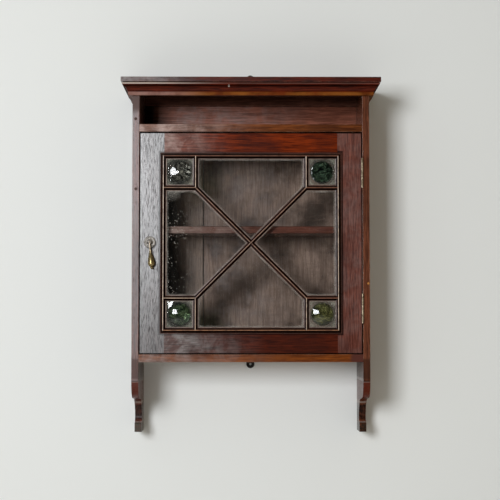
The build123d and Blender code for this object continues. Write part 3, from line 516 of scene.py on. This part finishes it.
def clear_glass(name, seed, outward, sideways, flecked, smoky=0.0):
    """A thin old pane with dust along its edges and flecks towards the left. Outward and sideways are its
    directions from the middle of the door, and smoky is how strong its smoke mark is."""
    material, tree = new_material(name)
    place = node(tree, "TexCoord").outputs["Object"]
    from_middle = node(tree, "VectorMath", {0: place, 1: (0, 0, door_middle)},
                       operation="SUBTRACT").outputs[0]
    out = measure_along(tree, from_middle, outward)
    aside = calc(tree, "ABSOLUTE", measure_along(tree, from_middle, sideways))
    to_bead = calc(tree, "SUBTRACT", crest_across - fillet_edge, out)
    to_square = calc(tree, "SUBTRACT", square_across - fillet_edge, aside)
    from_crossing = product(tree, calc(tree, "SUBTRACT", out, aside), diagonal)
    to_diagonal = product(tree, calc(tree, "SUBTRACT", from_crossing, fillet_edge), diagonal_pull)
    inside = calc(tree, "SMOOTH_MIN", to_bead, to_square, corner_round)
    inside = calc(tree, "SMOOTH_MIN", inside, to_diagonal, corner_round)
    patchy = noise(tree, place, patch_waves + seed, 4, 0.6, 0.5)
    wobble = product(tree, calc(tree, "SUBTRACT", noise(tree, place, rim_waves, 3), 0.5), rim_waver)
    rim = remap(tree, calc(tree, "ADD", inside, wobble), *rim_fading, 1.0, 0.0)
    rim_dust = product(tree, rim, remap(tree, patchy, 0.35, 0.7, 0.08, 0.38))
    film = remap(tree, noise(tree, place, haze_waves + seed, 5, 0.65, 0.5), 0.50, 0.8, 0.0, 0.014)
    cells = node(tree, "TexVoronoi", {"Vector": place, "Scale": flake_cells}).outputs["Distance"]
    flakes = product(tree, remap(tree, cells, *flake_size, 1.0, 0.0),
                     remap(tree, noise(tree, place, flake_waves, 2), 0.42, 0.52),
                     remap(tree, coordinate(tree, place, "X"), *flecked_span, flecked, flecked * 0.1))
    haze = calc(tree, "ADD", calc(tree, "ADD", rim_dust, film), flakes)
    if smoky:
        smoke = remap(tree, distance_across(tree, place, *smoke_place), *smoke_span, smoky, 0.0)
        haze = calc(tree, "ADD", haze, product(tree, smoke, patchy))
    haze = calc(tree, "MINIMUM", haze, 1.0)
    dust = node(tree, "BsdfDiffuse", {"Color": tone(184, 178, 170)}).outputs[0]
    through = node(tree, "BsdfTransparent", {"Color": (0.93, 0.94, 0.93, 1.0)}).outputs[0]
    ripple = node(tree, "Bump", {"Height": noise(tree, place, pane_waves, 2), "Strength": 0.25,
                                 "Distance": 0.0008}).outputs[0]
    mirror = node(tree, "BsdfGlossy", {"Color": (1, 1, 1, 1), "Roughness": 0.03, "Normal": ripple}).outputs[0]
    edge_on = node(tree, "Fresnel", {"IOR": glass_bending}).outputs[0]
    pane = node(tree, "MixShader", {0: edge_on, 1: through, 2: mirror}).outputs[0]
    output(tree, node(tree, "MixShader", {0: haze, 1: pane, 2: dust}).outputs[0])
    return material


def green_glass(name, middle, seed, deep, pale):
    """Thick green glass, clear in the sheet and streaked in rings round its middle."""
    material, tree = new_material(name)
    place = node(tree, "TexCoord").outputs["Object"]
    from_middle = node(tree, "VectorMath", {0: place, 1: middle}, operation="SUBTRACT").outputs[0]
    swirl = noise(tree, place, swirl_waves + seed, 3, 0.5, 1.5)
    away = node(tree, "VectorMath", {0: from_middle}, operation="LENGTH").outputs["Value"]
    waver = product(tree, calc(tree, "SUBTRACT", swirl, 0.5), ring_waver)
    rings = calc(tree, "SINE", product(tree, calc(tree, "ADD", away, waver), ring_waves))
    rings = remap(tree, rings, -1.0, 1.0)
    inside = remap(tree, away, bullseye_rim[-1][0], bullseye_rim[0][0], 1.0, 0.0)
    streak = remap(tree, noise(tree, place, streak_waves + seed, 4, 0.6, 2.0), 0.40, 0.64)
    green = mix(tree, product(tree, remap(tree, rings, 0.0, 1.0, 0.35, 1.0), streak), deep, pale)
    tint = mix(tree, inside, tone(220, 222, 214), green)
    broken = remap(tree, noise(tree, place, broken_waves + seed, 3), 0.38, 0.62, 0.15, 1.0)
    dark = product(tree, band(tree, away, *dark_ring, 0.0034), broken)
    tint = mix(tree, dark, tint, tone(30, 34, 26))
    uneven = calc(tree, "ADD", product(tree, rings, inside), swirl)
    bump = node(tree, "Bump", {"Height": uneven, "Strength": 0.03, "Distance": 0.0008}).outputs[0]
    glass = node(tree, "BsdfPrincipled", {"Base Color": tint, "Roughness": 0.02, "IOR": glass_bending,
                                          "Transmission Weight": remap(tree, inside, 0.0, 1.0, 0.98, 0.84),
                                          "Normal": bump}).outputs[0]
    through = node(tree, "BsdfTransparent", {"Color": (0.16, 0.20, 0.15, 1.0)}).outputs[0]
    shadow = node(tree, "LightPath").outputs["Is Shadow Ray"]
    dusty = remap(tree, calc(tree, "ADD", away, product(tree, swirl, dusty_waver)), *dusty_radii, 0.0, 0.3)
    dust = node(tree, "BsdfDiffuse", {"Color": tone(176, 172, 160)}).outputs[0]
    sheet = node(tree, "MixShader", {0: dusty, 1: glass, 2: dust}).outputs[0]
    output(tree, node(tree, "MixShader", {0: shadow, 1: sheet, 2: through}).outputs[0])
    return material


# Metal and putty

# Waves to a metre of the patches and the grit
tarnish_waves = 180
drop_waves = 120
rose_waves = 260
grit_finer = 7
putty_waves = 150

# Where the darkening of sunk places starts and ends before its depth, and the levels between which the drop
# is bleached
sunk_darkening = (-0.0011, -0.0005)
bleached_span = (-0.088, -0.066)


def aged_metal(name, bright, dull, metallic, smooth, rough, waves=tarnish_waves, bleached=None, sunk=None):
    """Metal with patches of tarnish, duller where it is darker. It may turn to a bleached tone towards
    its top, and it may be darker where it is sunk to a depth."""
    material, tree = new_material(name)
    place = node(tree, "TexCoord").outputs["Object"]
    patch = remap(tree, noise(tree, place, waves, 5, 0.65, 0.6), 0.36, 0.66)
    colour = mix(tree, patch, bright, dull)
    if bleached:
        colour = mix(tree, remap(tree, coordinate(tree, place, "Z"), *bleached_span), colour, bleached)
    if sunk is not None:
        start, stop = (sunk + step for step in sunk_darkening)
        darkening = remap(tree, coordinate(tree, place, "Y"), start, stop, 0.0, 0.95)
        colour = mix(tree, darkening, colour, tone(6, 4, 3))
    roughness = remap(tree, patch, 0.0, 1.0, smooth, rough, soft=False)
    grit = node(tree, "Bump", {"Height": noise(tree, place, waves * grit_finer, 3, 0.6), "Strength": 0.35,
                               "Distance": 0.0002}).outputs[0]
    shader = node(tree, "BsdfPrincipled", {"Base Color": colour, "Roughness": roughness,
                                           "Metallic": metallic, "Normal": grit})
    output(tree, shader.outputs[0])
    return material


def rose_metal():
    """The pale worn metal of the rose and its post, darker at the depth of the stile's face."""
    return aged_metal("rose_metal", tone(176, 171, 165), tone(106, 99, 91), metallic=0.4, smooth=0.45,
                      rough=0.65, waves=rose_waves, sunk=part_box("handle_rose")[1][1])


def putty_finish():
    """Old painted putty, cracked and stained."""
    material, tree = new_material("putty")
    place = node(tree, "TexCoord").outputs["Object"]
    lumps = noise(tree, place, putty_waves, 5, 0.7)
    colour = mix(tree, remap(tree, lumps, 0.35, 0.7), tone(52, 38, 30), tone(104, 88, 72))
    bump = node(tree, "Bump", {"Height": lumps, "Strength": 0.5, "Distance": 0.0006}).outputs[0]
    shader = node(tree, "BsdfPrincipled", {"Base Color": colour, "Roughness": 0.75, "Normal": bump})
    output(tree, shader.outputs[0])
    return material


def dress(name, material):
    """Give one CAD node its material."""
    mesh = nodes[name].data
    mesh.materials.clear()
    mesh.materials.append(material)


# Finishes of the boards, each pair of tones light and dark

plum = (tone(112, 66, 56), tone(50, 24, 19))
soft_plum = (tone(126, 76, 64), tone(88, 48, 38))
dark_plum = (tone(72, 54, 50), tone(32, 22, 20))
red_plum = (tone(124, 72, 50), tone(62, 32, 20))
violet_plum = (tone(124, 66, 50), tone(68, 29, 20))
mahogany = (tone(98, 40, 20), tone(44, 12, 6))
deep_red = (tone(96, 30, 11), tone(40, 9, 4))
russet = (tone(134, 48, 9), tone(58, 14, 2))
cherry = (tone(88, 32, 14), tone(42, 11, 4))
copper = (tone(122, 66, 30), tone(62, 28, 10))
orange = (tone(140, 74, 26), tone(72, 31, 8))
umber = (tone(118, 74, 60), tone(66, 39, 30))
chestnut = (tone(174, 106, 84), tone(100, 58, 44))
drab = (tone(190, 166, 153), tone(150, 129, 118))
brown_drab = (tone(180, 153, 140), tone(140, 116, 105))
moulding_brown = (tone(84, 48, 35), tone(38, 18, 12))
boards = {
    "side_left": dict(grain=along_z, tones=plum, rub=0.6, coat=0.9, polish=0.3, shine=0.5, flecks=0.5,
                      # The first spot is a painted shadow under the cornice; the two small ones are old marks
                      varnish=1.6, spots=((-0.2430, 0.2560, 0.0360, tone(92, 76, 72)),
                                          (-0.2455, 0.2060, 0.0034, tone(64, 42, 34)),
                                          (-0.2445, 0.0560, 0.0030, tone(64, 42, 34))),
                      shade=bracket_shade(tone(82, 34, 22), tone(70, 66, 58), inner_shade=0.8, neck_shadow=0.55)),
    "side_right": dict(grain=along_z, tones=red_plum, rub=0.6, flecks=0.4,
                       spots=((0.2490, -0.1450, 0.0030, tone(186, 128, 66)),),
                       shade=bracket_shade(tone(84, 30, 18), tone(38, 32, 25), inner_shade=0.1, neck_shadow=0.7)),
    "top_board": dict(grain=along_x, tones=deep_red, rub=0.3, coat=0.8, polish=0.26, bloom_and_sheen=0.8,
                      sheen_fading=(-0.26, -0.10, 0.0)),
    "upper_shelf": dict(grain=along_x, tones=copper, rub=0.4, bloom_and_sheen=1.0, bloom_and_sheen_tone=rosy_film,
                        sheen_fading=(-0.26, 0.05, 0.0)),
    "inner_shelf": dict(grain=along_x, tones=soft_plum, rub=0.3, grime=0.8, bloom_and_sheen=0.8, bloom_and_sheen_tone=rosy_film,
                        sheen_fading=(-0.2, 0.08, 0.0)),
    "bottom_board": dict(grain=along_x, tones=orange, rub=0.4, bloom_and_sheen=0.7, sheen_fading=(-0.26, 0.10, 0.0),
                         spots=((0.234, -0.303, 0.024, tone(78, 46, 42)),)),
    "handle_stile": dict(grain=along_z, tones=dark_plum, rub=0.0, grime=0.3, coat=1.0, polish=0.31, shine=0.8,
                         relief=0.3, flecks=0.6, closed=0.48, varnish=2.1, worn_foot=(-0.30, -0.04, 0.5),
                         # The spot is the rose's painted shadow on the stile
                         spots=((-0.2124, -0.0598, 0.0175, tone(20, 15, 13)),), shade=door_shade(0.5)),
    "hinge_stile": dict(grain=along_z, tones=violet_plum, rub=0.0, grime=0.2, coat=0.6, polish=0.25,
                        flecks=0.4, figured=0.2, bloom_and_sheen=0.2, smears_and_shadows=((0.215, -0.295, 0.115),),
                        worn_foot=(-0.28, -0.20, 0.25), shade=door_shade(0.85)),
    "door_rail_top": dict(grain=along_x, tones=russet, rub=0.0, bloom_and_sheen=0.9, bloom_and_sheen_tone=rosy_film,
                          sheen_fading=(-0.24, -0.03, 0.0), shade=door_shade(0.2)),
    "door_rail_bottom": dict(grain=along_x, tones=cherry, rub=0.0, bloom_and_sheen=1.0, sheen_fading=(-0.22, 0.04, 0.0),
                             shade=door_shade(0.5)),
    "door_stop": dict(grain=along_z, tones=mahogany),
    "hanging_rail": dict(grain=along_x, tones=umber, coat=0.1),
    "cornice_rail": dict(grain=along_x, tones=mahogany),
    "back_board_level": dict(grain=along_x, tones=chestnut, rub=0.0, coat=0.1, bloom_and_sheen=0.5,
                             # Painted shadow of the left side in the corner of the recess
                             sheen_fading=(-0.12, 0.20, 0.0), shade=corner_shade(-0.224, -0.204)),
    "back_board_left": dict(grain=along_z, tones=drab, rub=0.0, grime=0.95, coat=0.0, blotch=0.6,
                            blotch_and_shadow_tone=tone(70, 56, 54), bloom_and_sheen=0.3, bloom_and_sheen_tone=lilac_film,
                            # Painted shadow of the left side and the left stile inside the door
                            shade=corner_shade(-0.182, -0.136)),
    "back_board_right": dict(grain=along_z, tones=brown_drab, rub=0.0, grime=0.95, coat=0.0, figured=0.1,
                             cross=0.5, blotch=0.9, blotch_and_shadow_tone=tone(82, 66, 58), bloom_and_sheen=0.4, bloom_and_sheen_tone=lilac_film,
                             sheen_fading=(-0.02, 0.14, 0.1),
                             # The smears are painted shadows of the glazing bars and of the inner shelf
                             smears_and_shadows=((-0.095, -0.215, 0.062), (-0.052, -0.172, 0.050),
                                     (-0.016, -0.142, 0.050), (0.020, -0.112, 0.060),
                                     (0.088, -0.136, 0.055), (0.042, -0.040, 0.045))),
}


# The first seeds of the mouldings and the cornices, and how far out the left bead is rubbed
moulding_seed = 31
cornice_seed = 61
left_crest_shift = 0.0008


def dress_boards():
    """Give each board its wood."""
    for seed, (name, look) in enumerate(boards.items()):
        dress(name, wood(name, seed=seed + 1, box=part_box(name), **look))


def dress_mouldings():
    """Cornice, beads and bars. A bead or bar has its grain, the direction across it, the place of its
    crest line, the side with the glass, the side towards the window and the tone of its crest."""
    white, cream, buff = tone(240, 214, 188), tone(224, 196, 168), tone(172, 138, 114)
    ochre, ruddy = tone(176, 124, 84), tone(140, 92, 68)
    runs = {"bead_top": (along_x, (0, 0, 1), door_middle + crest_up, -1, 1, ruddy),
            "bead_bottom": (along_x, (0, 0, 1), door_middle - crest_up, 1, 1, ochre),
            "bead_left": (along_z, (1, 0, 0), -crest_across - left_crest_shift, 1, -1, white),
            "bead_right": (along_z, (1, 0, 0), crest_across, -1, -1, cream),
            "bar_rising": (rising, (-diagonal, 0, diagonal), door_middle * diagonal, 0, 1, buff),
            "bar_falling": (falling, (diagonal, 0, diagonal), door_middle * diagonal, 0, -1, buff),
            "bar_upper_left_upright": (along_z, (1, 0, 0), -square_across, 0, -1, cream),
            "bar_upper_right_upright": (along_z, (1, 0, 0), square_across, 0, -1, white),
            "bar_lower_left_upright": (along_z, (1, 0, 0), -square_across, 0, -1, cream),
            "bar_lower_right_upright": (along_z, (1, 0, 0), square_across, 0, -1, cream),
            "bar_upper_left_level": (along_x, (0, 0, 1), door_middle + square_up, 0, 1, buff),
            "bar_upper_right_level": (along_x, (0, 0, 1), door_middle + square_up, 0, 1, ruddy),
            "bar_lower_left_level": (along_x, (0, 0, 1), door_middle - square_up, 0, 1, cream),
            "bar_lower_right_level": (along_x, (0, 0, 1), door_middle - square_up, 0, 1, ruddy)}
    for seed, (name, (grain, across, out, inward, lit, crest_tone)) in enumerate(runs.items()):
        dress(name, wood(name, grain, moulding_brown, moulding_seed + seed, coat=0.6, polish=0.25, shine=0.2,
                         shade=crest_shade(across, out, inward, lit, crest_tone)))
    cornices = {"cornice_front": along_x, "cornice_left": along_y, "cornice_right": along_y}
    for seed, (name, grain) in enumerate(cornices.items()):
        dress(name, wood(name, grain, deep_red, cornice_seed + seed, coat=0.25, shine=0.0,
                         spots=((-0.0468, 0.2740, 0.0022, tone(240, 226, 216)),),
                         shade=cornice_shade(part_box("cornice_front")[1][2])))


def dress_panes():
    """Give each clear pane its glass. The left one is the most flecked and has the smoke mark."""
    panes = {"pane_top": dict(outward=(0, 0, 1), sideways=(1, 0, 0), flecked=0.6),
             "pane_bottom": dict(outward=(0, 0, -1), sideways=(1, 0, 0), flecked=0.6),
             "pane_left": dict(outward=(-1, 0, 0), sideways=(0, 0, 1), flecked=1.0, smoky=0.3),
             "pane_right": dict(outward=(1, 0, 0), sideways=(0, 0, 1), flecked=0.6)}
    for seed, (name, look) in enumerate(panes.items()):
        dress(name, clear_glass(name, seed, **look))


def dress_metal():
    """Give each metal piece the finish of the last start that its name fits. The finishes of the hinges'
    screws come after that of the hinges, whose start they share."""
    hinge_brass = aged_metal("hinge_brass", tone(160, 146, 124), tone(84, 70, 52),
                             metallic=0.9, smooth=0.34, rough=0.55)
    drop_brass = aged_metal("drop_brass", tone(160, 142, 100), tone(74, 64, 42),
                            metallic=0.9, smooth=0.22, rough=0.45, waves=drop_waves,
                            bleached=tone(150, 138, 122))
    iron = aged_metal("iron", tone(50, 45, 42), tone(26, 23, 21), metallic=0.7, smooth=0.45, rough=0.7)
    steel = aged_metal("steel", tone(150, 146, 138), tone(98, 88, 74), metallic=0.9, smooth=0.3, rough=0.5)
    finishes = {"hinge_": hinge_brass, "catch_barrel": hinge_brass, "catch_strike": hinge_brass,
                "handle_drop": drop_brass, "handle_rose": rose_metal(), "handle_post": rose_metal(),
                "handle_nut": rose_metal(), "top_hanger": iron, "bottom_hanger": iron, "back_nails": iron,
                "hanger_screws": steel, "catch_ball": steel, "hinge_side_screws": steel,
                "hinge_door_screws": steel}
    for name in nodes:
        for start, metal in finishes.items():
            if name.startswith(start) and name != "hinge_stile":
                dress(name, metal)


# Pieces modelled by hand

def nothing_selected():
    """Leave edit mode and select nothing."""
    if bpy.context.object and bpy.context.object.mode != "OBJECT":
        bpy.ops.object.mode_set(mode="OBJECT")
    bpy.ops.object.select_all(action="DESELECT")


def pick(piece, mode, chosen):
    """Select the vertices, edges or faces of a piece that a test picks, and nothing else."""
    bpy.ops.object.mode_set(mode="EDIT")
    bpy.ops.mesh.select_mode(type=mode)
    bpy.ops.mesh.select_all(action="DESELECT")
    mesh = bmesh.from_edit_mesh(piece.data)
    elements = {"VERT": mesh.verts, "EDGE": mesh.edges, "FACE": mesh.faces}[mode]
    for element in elements:
        if chosen(element):
            element.select_set(True)
    mesh.select_flush_mode()
    bmesh.update_edit_mesh(piece.data)


def face_outward():
    """Turn the normals of the whole piece in edit mode outward."""
    bpy.ops.mesh.select_all(action="SELECT")
    bpy.ops.mesh.normals_make_consistent(inside=False)


def finish(piece, name, material, body, stands_for):
    """Name a finished piece, leave its place in its mesh, set it on its body and let it stand for a node."""
    bpy.ops.object.mode_set(mode="OBJECT")
    bpy.ops.object.transform_apply(location=True, rotation=True, scale=True)
    piece.name = name
    piece.data.name = name
    piece.data.materials.clear()
    piece.data.materials.append(material)
    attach(piece, body)
    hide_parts(stands_for)


def apply_all(piece):
    """Apply every modifier of a piece."""
    bpy.ops.object.mode_set(mode="OBJECT")
    for modifier in list(piece.modifiers):
        bpy.ops.object.modifier_apply(modifier=modifier.name)


# A bull's-eye: the radius and rise of its steep rim, the rings of its dome, and its sheet
bullseye_rim = ((0.0246, 0.0), (0.0243, 0.0008), (0.0236, 0.0015), (0.0225, 0.0019))
bullseye_rings = (0.0200, 0.0170, 0.0140, 0.0110, 0.0080, 0.0052, 0.0030, 0.0014)
bullseye_sheet = 0.0022
bullseye_points = 64
rim_support = 1.03
bend_reach = 0.020
at_corner = 0.001
sharp_edge = math.radians(80)
shaded_sharp = math.radians(50)
quarter_turn = math.radians(90)

# The slope and dome of each bull's-eye, the unevenness of its skin and the tones of its streaks
bullseyes = {
    "upper_left": dict(cone=0.09, dome=0.15, unevenness=0.0006, wave_size=0.011,
                       deep=tone(20, 21, 18), pale=tone(222, 220, 206)),
    "upper_right": dict(cone=0.0, dome=0.20, unevenness=0.0007, wave_size=0.009,
                        deep=tone(12, 26, 20), pale=tone(128, 162, 134)),
    "lower_left": dict(cone=0.0, dome=0.064, unevenness=0.0002, wave_size=0.012,
                       deep=tone(50, 72, 50), pale=tone(156, 180, 136), corner_bend=0.0032),
    "lower_right": dict(cone=0.10, dome=0.09, unevenness=0.0001, wave_size=0.012,
                        deep=tone(64, 70, 38), pale=tone(192, 198, 132)),
}


def bullseye_steps(cone, dome):
    """The steps in and up of a bull's-eye's rings, from its rim to its middle. Its slope is that of a
    cone at the middle, and steepens outward as on a dome of this radius."""
    def fall(radius):
        return cone * radius + radius ** 2 / (2 * dome)
    foot_radius, foot_rise = bullseye_rim[-1]
    rings = list(bullseye_rim)
    for radius in bullseye_rings:
        rings.append((radius, foot_rise + fall(foot_radius) - fall(radius)))
    return [(outer[0] - inner[0], inner[1] - outer[1]) for outer, inner in zip(rings, rings[1:])]


def push_to_square(piece, width, height):
    """Move the selected ring of a round sheet out to its square outline."""
    mesh = bmesh.from_edit_mesh(piece.data)
    for vertex in mesh.verts:
        if vertex.select:
            reach = max(abs(vertex.co.x) / width, abs(vertex.co.z) / height) * 2
            vertex.co.x /= reach
            vertex.co.z /= reach
    bmesh.update_edit_mesh(piece.data)


def round_sheet(points, radius, middle):
    """A flat round face towards the room, with its middle at this place."""
    nothing_selected()
    bpy.ops.mesh.primitive_circle_add(vertices=points, radius=radius, fill_type="NGON", location=middle,
                                      rotation=(quarter_turn, 0, 0))
    bpy.ops.object.transform_apply(location=False, rotation=True, scale=True)
    return bpy.context.object


def make_bullseye(corner, cone, dome, unevenness, wave_size, deep, pale, corner_bend=0.0):
    """A square of crown glass with its thick middle and a skin that isn't quite even. With corner_bend
    its upper left corner bends back."""
    node_name = f"bullseye_{corner}"
    low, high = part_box(node_name)
    middle = ((low[0] + high[0]) / 2, high[1] - bullseye_sheet, (low[2] + high[2]) / 2)
    piece = round_sheet(bullseye_points, bullseye_rim[0][0], middle)
    pick(piece, "EDGE", lambda edge: edge.is_boundary)
    bpy.ops.mesh.extrude_region_move()
    bpy.ops.transform.resize(value=(rim_support, 1, rim_support), center_override=middle)
    bpy.ops.mesh.extrude_region_move()
    push_to_square(piece, high[0] - low[0], high[2] - low[2])
    bpy.ops.mesh.extrude_region_move(TRANSFORM_OT_translate={"value": (0, bullseye_sheet, 0)})
    bpy.ops.mesh.edge_face_add()
    face_outward()
    pick(piece, "FACE", lambda face: len(face.verts) > 4 and face.calc_center_median().y < bullseye_sheet / 2)
    for step_in, rise in bullseye_steps(cone, dome):
        bpy.ops.mesh.inset(thickness=step_in, depth=rise)
    bpy.ops.mesh.poke()
    pick(piece, "EDGE", lambda edge: edge.calc_face_angle(0) > sharp_edge)
    bpy.ops.transform.edge_crease(value=1.0)
    face_outward()
    if corner_bend:
        pick(piece, "VERT", lambda vertex: vertex.co.x < low[0] - middle[0] + at_corner
             and vertex.co.z > high[2] - middle[2] - at_corner)
        bpy.ops.transform.translate(value=(0, corner_bend, 0), use_proportional_edit=True,
                                    proportional_edit_falloff="LINEAR", proportional_size=bend_reach)
    bpy.ops.object.mode_set(mode="OBJECT")
    smooth = piece.modifiers.new("smooth", "SUBSURF")
    smooth.levels = smooth.render_levels = 2
    waves = bpy.data.textures.new("glass_waves_" + corner, "CLOUDS")
    waves.noise_scale = wave_size
    waves.noise_depth = 0
    uneven = piece.modifiers.new("uneven", "DISPLACE")
    uneven.texture = waves
    uneven.texture_coords = "LOCAL"
    uneven.direction = "Y"
    uneven.mid_level = 0.5
    uneven.strength = unevenness
    bpy.ops.object.transform_apply(location=True)
    apply_all(piece)
    bpy.ops.object.shade_smooth_by_angle(angle=shaded_sharp)
    glass = green_glass(node_name + "_glass", middle, len(corner), deep, pale)
    dress(node_name, glass)
    finish(piece, node_name + "_glass", glass, "door", node_name)


# The cast rose: the height of its edge, then steps in and up from its rim to its middle
rose_points = 48
rose_edge = 0.0006
rose_steps = ((0.0006, 0.0007), (0.0008, 0.0004), (0.0007, 0.0001), (0.0010, -0.0001),
              (0.0010, -0.0003), (0.0009, -0.0002), (0.0009, 0.0002), (0.0007, 0.0006),
              (0.0006, 0.0005), (0.0009, 0.0005), (0.0010, 0.0))
rose_rounding = 0.00012
rounded_sharp = math.radians(35)

# Its slots, by the angle of each in degrees, half its spread, its reach from the middle and its depth
slot_angles = (200, 318)
slot_spread = 30
slot_reach = (0.0032, 0.0060)
slot_depth = 0.0022
steepest_front = -0.3


def in_rose_slot(face):
    """Whether a face of the rose's front lies in one of its slots."""
    place = face.calc_center_median()
    start, stop = slot_reach
    if face.normal.y > steepest_front or not start < math.hypot(place.x, place.z) < stop:
        return False
    angle = math.degrees(math.atan2(place.z, place.x)) % 360
    return any(abs(angle - slot) < slot_spread for slot in slot_angles)


def make_rose():
    """The cast rose: a rounded rim, a hollow ring, a raised middle and the two slots beside the fork."""
    low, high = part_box("handle_rose")
    middle = ((low[0] + high[0]) / 2, high[1], (low[2] + high[2]) / 2)
    piece = round_sheet(rose_points, (high[0] - low[0]) / 2, middle)
    bpy.ops.object.mode_set(mode="EDIT")
    bpy.ops.mesh.select_all(action="SELECT")
    bpy.ops.mesh.extrude_region_move(TRANSFORM_OT_translate={"value": (0, -rose_edge, 0)})
    for step_in, rise in rose_steps:
        bpy.ops.mesh.inset(thickness=step_in, depth=rise)
    pick(piece, "EDGE", lambda edge: edge.is_boundary)
    bpy.ops.mesh.edge_face_add()
    face_outward()
    pick(piece, "FACE", in_rose_slot)
    bpy.ops.mesh.extrude_region_move(TRANSFORM_OT_translate={"value": (0, slot_depth, 0)})
    face_outward()
    bpy.ops.object.mode_set(mode="OBJECT")
    rounded = piece.modifiers.new("rounded", "BEVEL")
    rounded.width = rose_rounding
    rounded.segments = 2
    rounded.angle_limit = rounded_sharp
    apply_all(piece)
    bpy.ops.object.shade_smooth_by_angle(angle=shaded_sharp)
    bpy.ops.object.transform_apply(location=True)
    metal = rose_metal()
    dress("handle_rose", metal)
    finish(piece, "handle_rose_cast", metal, "door", "handle_rose")


# Stage, light and camera

def one_sided(name, colour, only_seen):
    """A matt finish seen from its front alone. With only_seen, lamps and bounced light pass through."""
    material, tree = new_material(name)
    matt = node(tree, "BsdfDiffuse", {"Color": colour}).outputs[0]
    clear = node(tree, "BsdfTransparent").outputs[0]
    hidden = node(tree, "NewGeometry").outputs["Backfacing"]
    if only_seen:
        path = node(tree, "LightPath")
        unlit = calc(tree, "ADD", path.outputs["Is Shadow Ray"], path.outputs["Is Diffuse Ray"])
        hidden = calc(tree, "MINIMUM", calc(tree, "ADD", hidden, unlit), 1.0)
    output(tree, node(tree, "MixShader", {0: hidden, 1: matt, 2: clear}).outputs[0])
    return material


def flat_stage(name, corners, material):
    """One flat face of the stage."""
    mesh = bpy.data.meshes.new(name)
    mesh.from_pydata(corners, [], [range(len(corners))])
    mesh.materials.append(material)
    plane = bpy.data.objects.new(name, mesh)
    bpy.context.collection.objects.link(plane)


def make_stage():
    """The wall just behind the cabinet, and the floor."""
    reach, level = wall_reach, floor_level
    flat_stage("wall", [(-reach, wall_gap, level), (reach, wall_gap, level),
                        (reach, wall_gap, reach), (-reach, wall_gap, reach)],
               one_sided("wall_paint", tone(236, 238, 236), only_seen=True))
    flat_stage("floor", [(-reach, -2 * reach, level), (reach, -2 * reach, level),
                         (reach, reach, level), (-reach, reach, level)],
               one_sided("floor_paint", tone(232, 230, 226), only_seen=False))


def make_light():
    """A window to the left behind the viewer, and a room that is brighter at the sides and warmer on the
    right. Seen directly or through glass it is plain and pale."""
    window = bpy.data.lights.new("window", "AREA")
    window.shape = "RECTANGLE"
    window.size = window_width
    window.size_y = window_height
    window.energy = window_watts
    window.color = window_colour
    lamp = bpy.data.objects.new("window", window)
    lamp.location = window_place
    lamp.rotation_euler = (-Vector(window_place)).to_track_quat("-Z", "Y").to_euler()
    lamp.visible_camera = False
    bpy.context.collection.objects.link(lamp)
    world = bpy.data.worlds.new("room")
    world.use_nodes = True
    tree = world.node_tree
    tree.nodes.clear()
    aim = node(tree, "SeparateXYZ", {0: node(tree, "TexCoord").outputs["Generated"]})
    glow = remap(tree, aim.outputs["Y"], *front_to_side, room_light, side_light)
    warmth = mix(tree, remap(tree, aim.outputs["X"], *cool_to_warm), cool_light, warm_light)
    path = node(tree, "LightPath")
    seen = node(tree, "Background", {"Color": tone(236, 236, 234), "Strength": 1.0}).outputs[0]
    lit = node(tree, "Background", {"Color": warmth, "Strength": glow}).outputs[0]
    behind = remap(tree, aim.outputs["Y"], *front_to_back)
    shown = greatest(tree, path.outputs["Is Transmission Ray"],
                     product(tree, path.outputs["Is Glossy Ray"], behind), path.outputs["Is Camera Ray"])
    chosen = node(tree, "MixShader", {0: shown, 1: lit, 2: seen}).outputs[0]
    node(tree, "OutputWorld", {"Surface": chosen})
    bpy.context.scene.world = world


def make_camera():
    """The photograph's viewpoint."""
    lens = bpy.data.cameras.new("camera")
    lens.lens = camera_lens
    lens.sensor_width = camera_sensor
    camera = bpy.data.objects.new("camera", lens)
    camera.location = camera_place
    camera.rotation_euler = (math.radians(90 + camera_up), 0, -math.radians(camera_right))
    bpy.context.collection.objects.link(camera)
    bpy.context.scene.camera = camera


dress_boards()
dress_mouldings()
dress_panes()
dress_metal()
dress("putty", putty_finish())
for corner, shape in bullseyes.items():
    make_bullseye(corner, **shape)
make_rose()
make_stage()
make_light()
make_camera()
bpy.context.scene.view_settings.view_transform = "Standard"
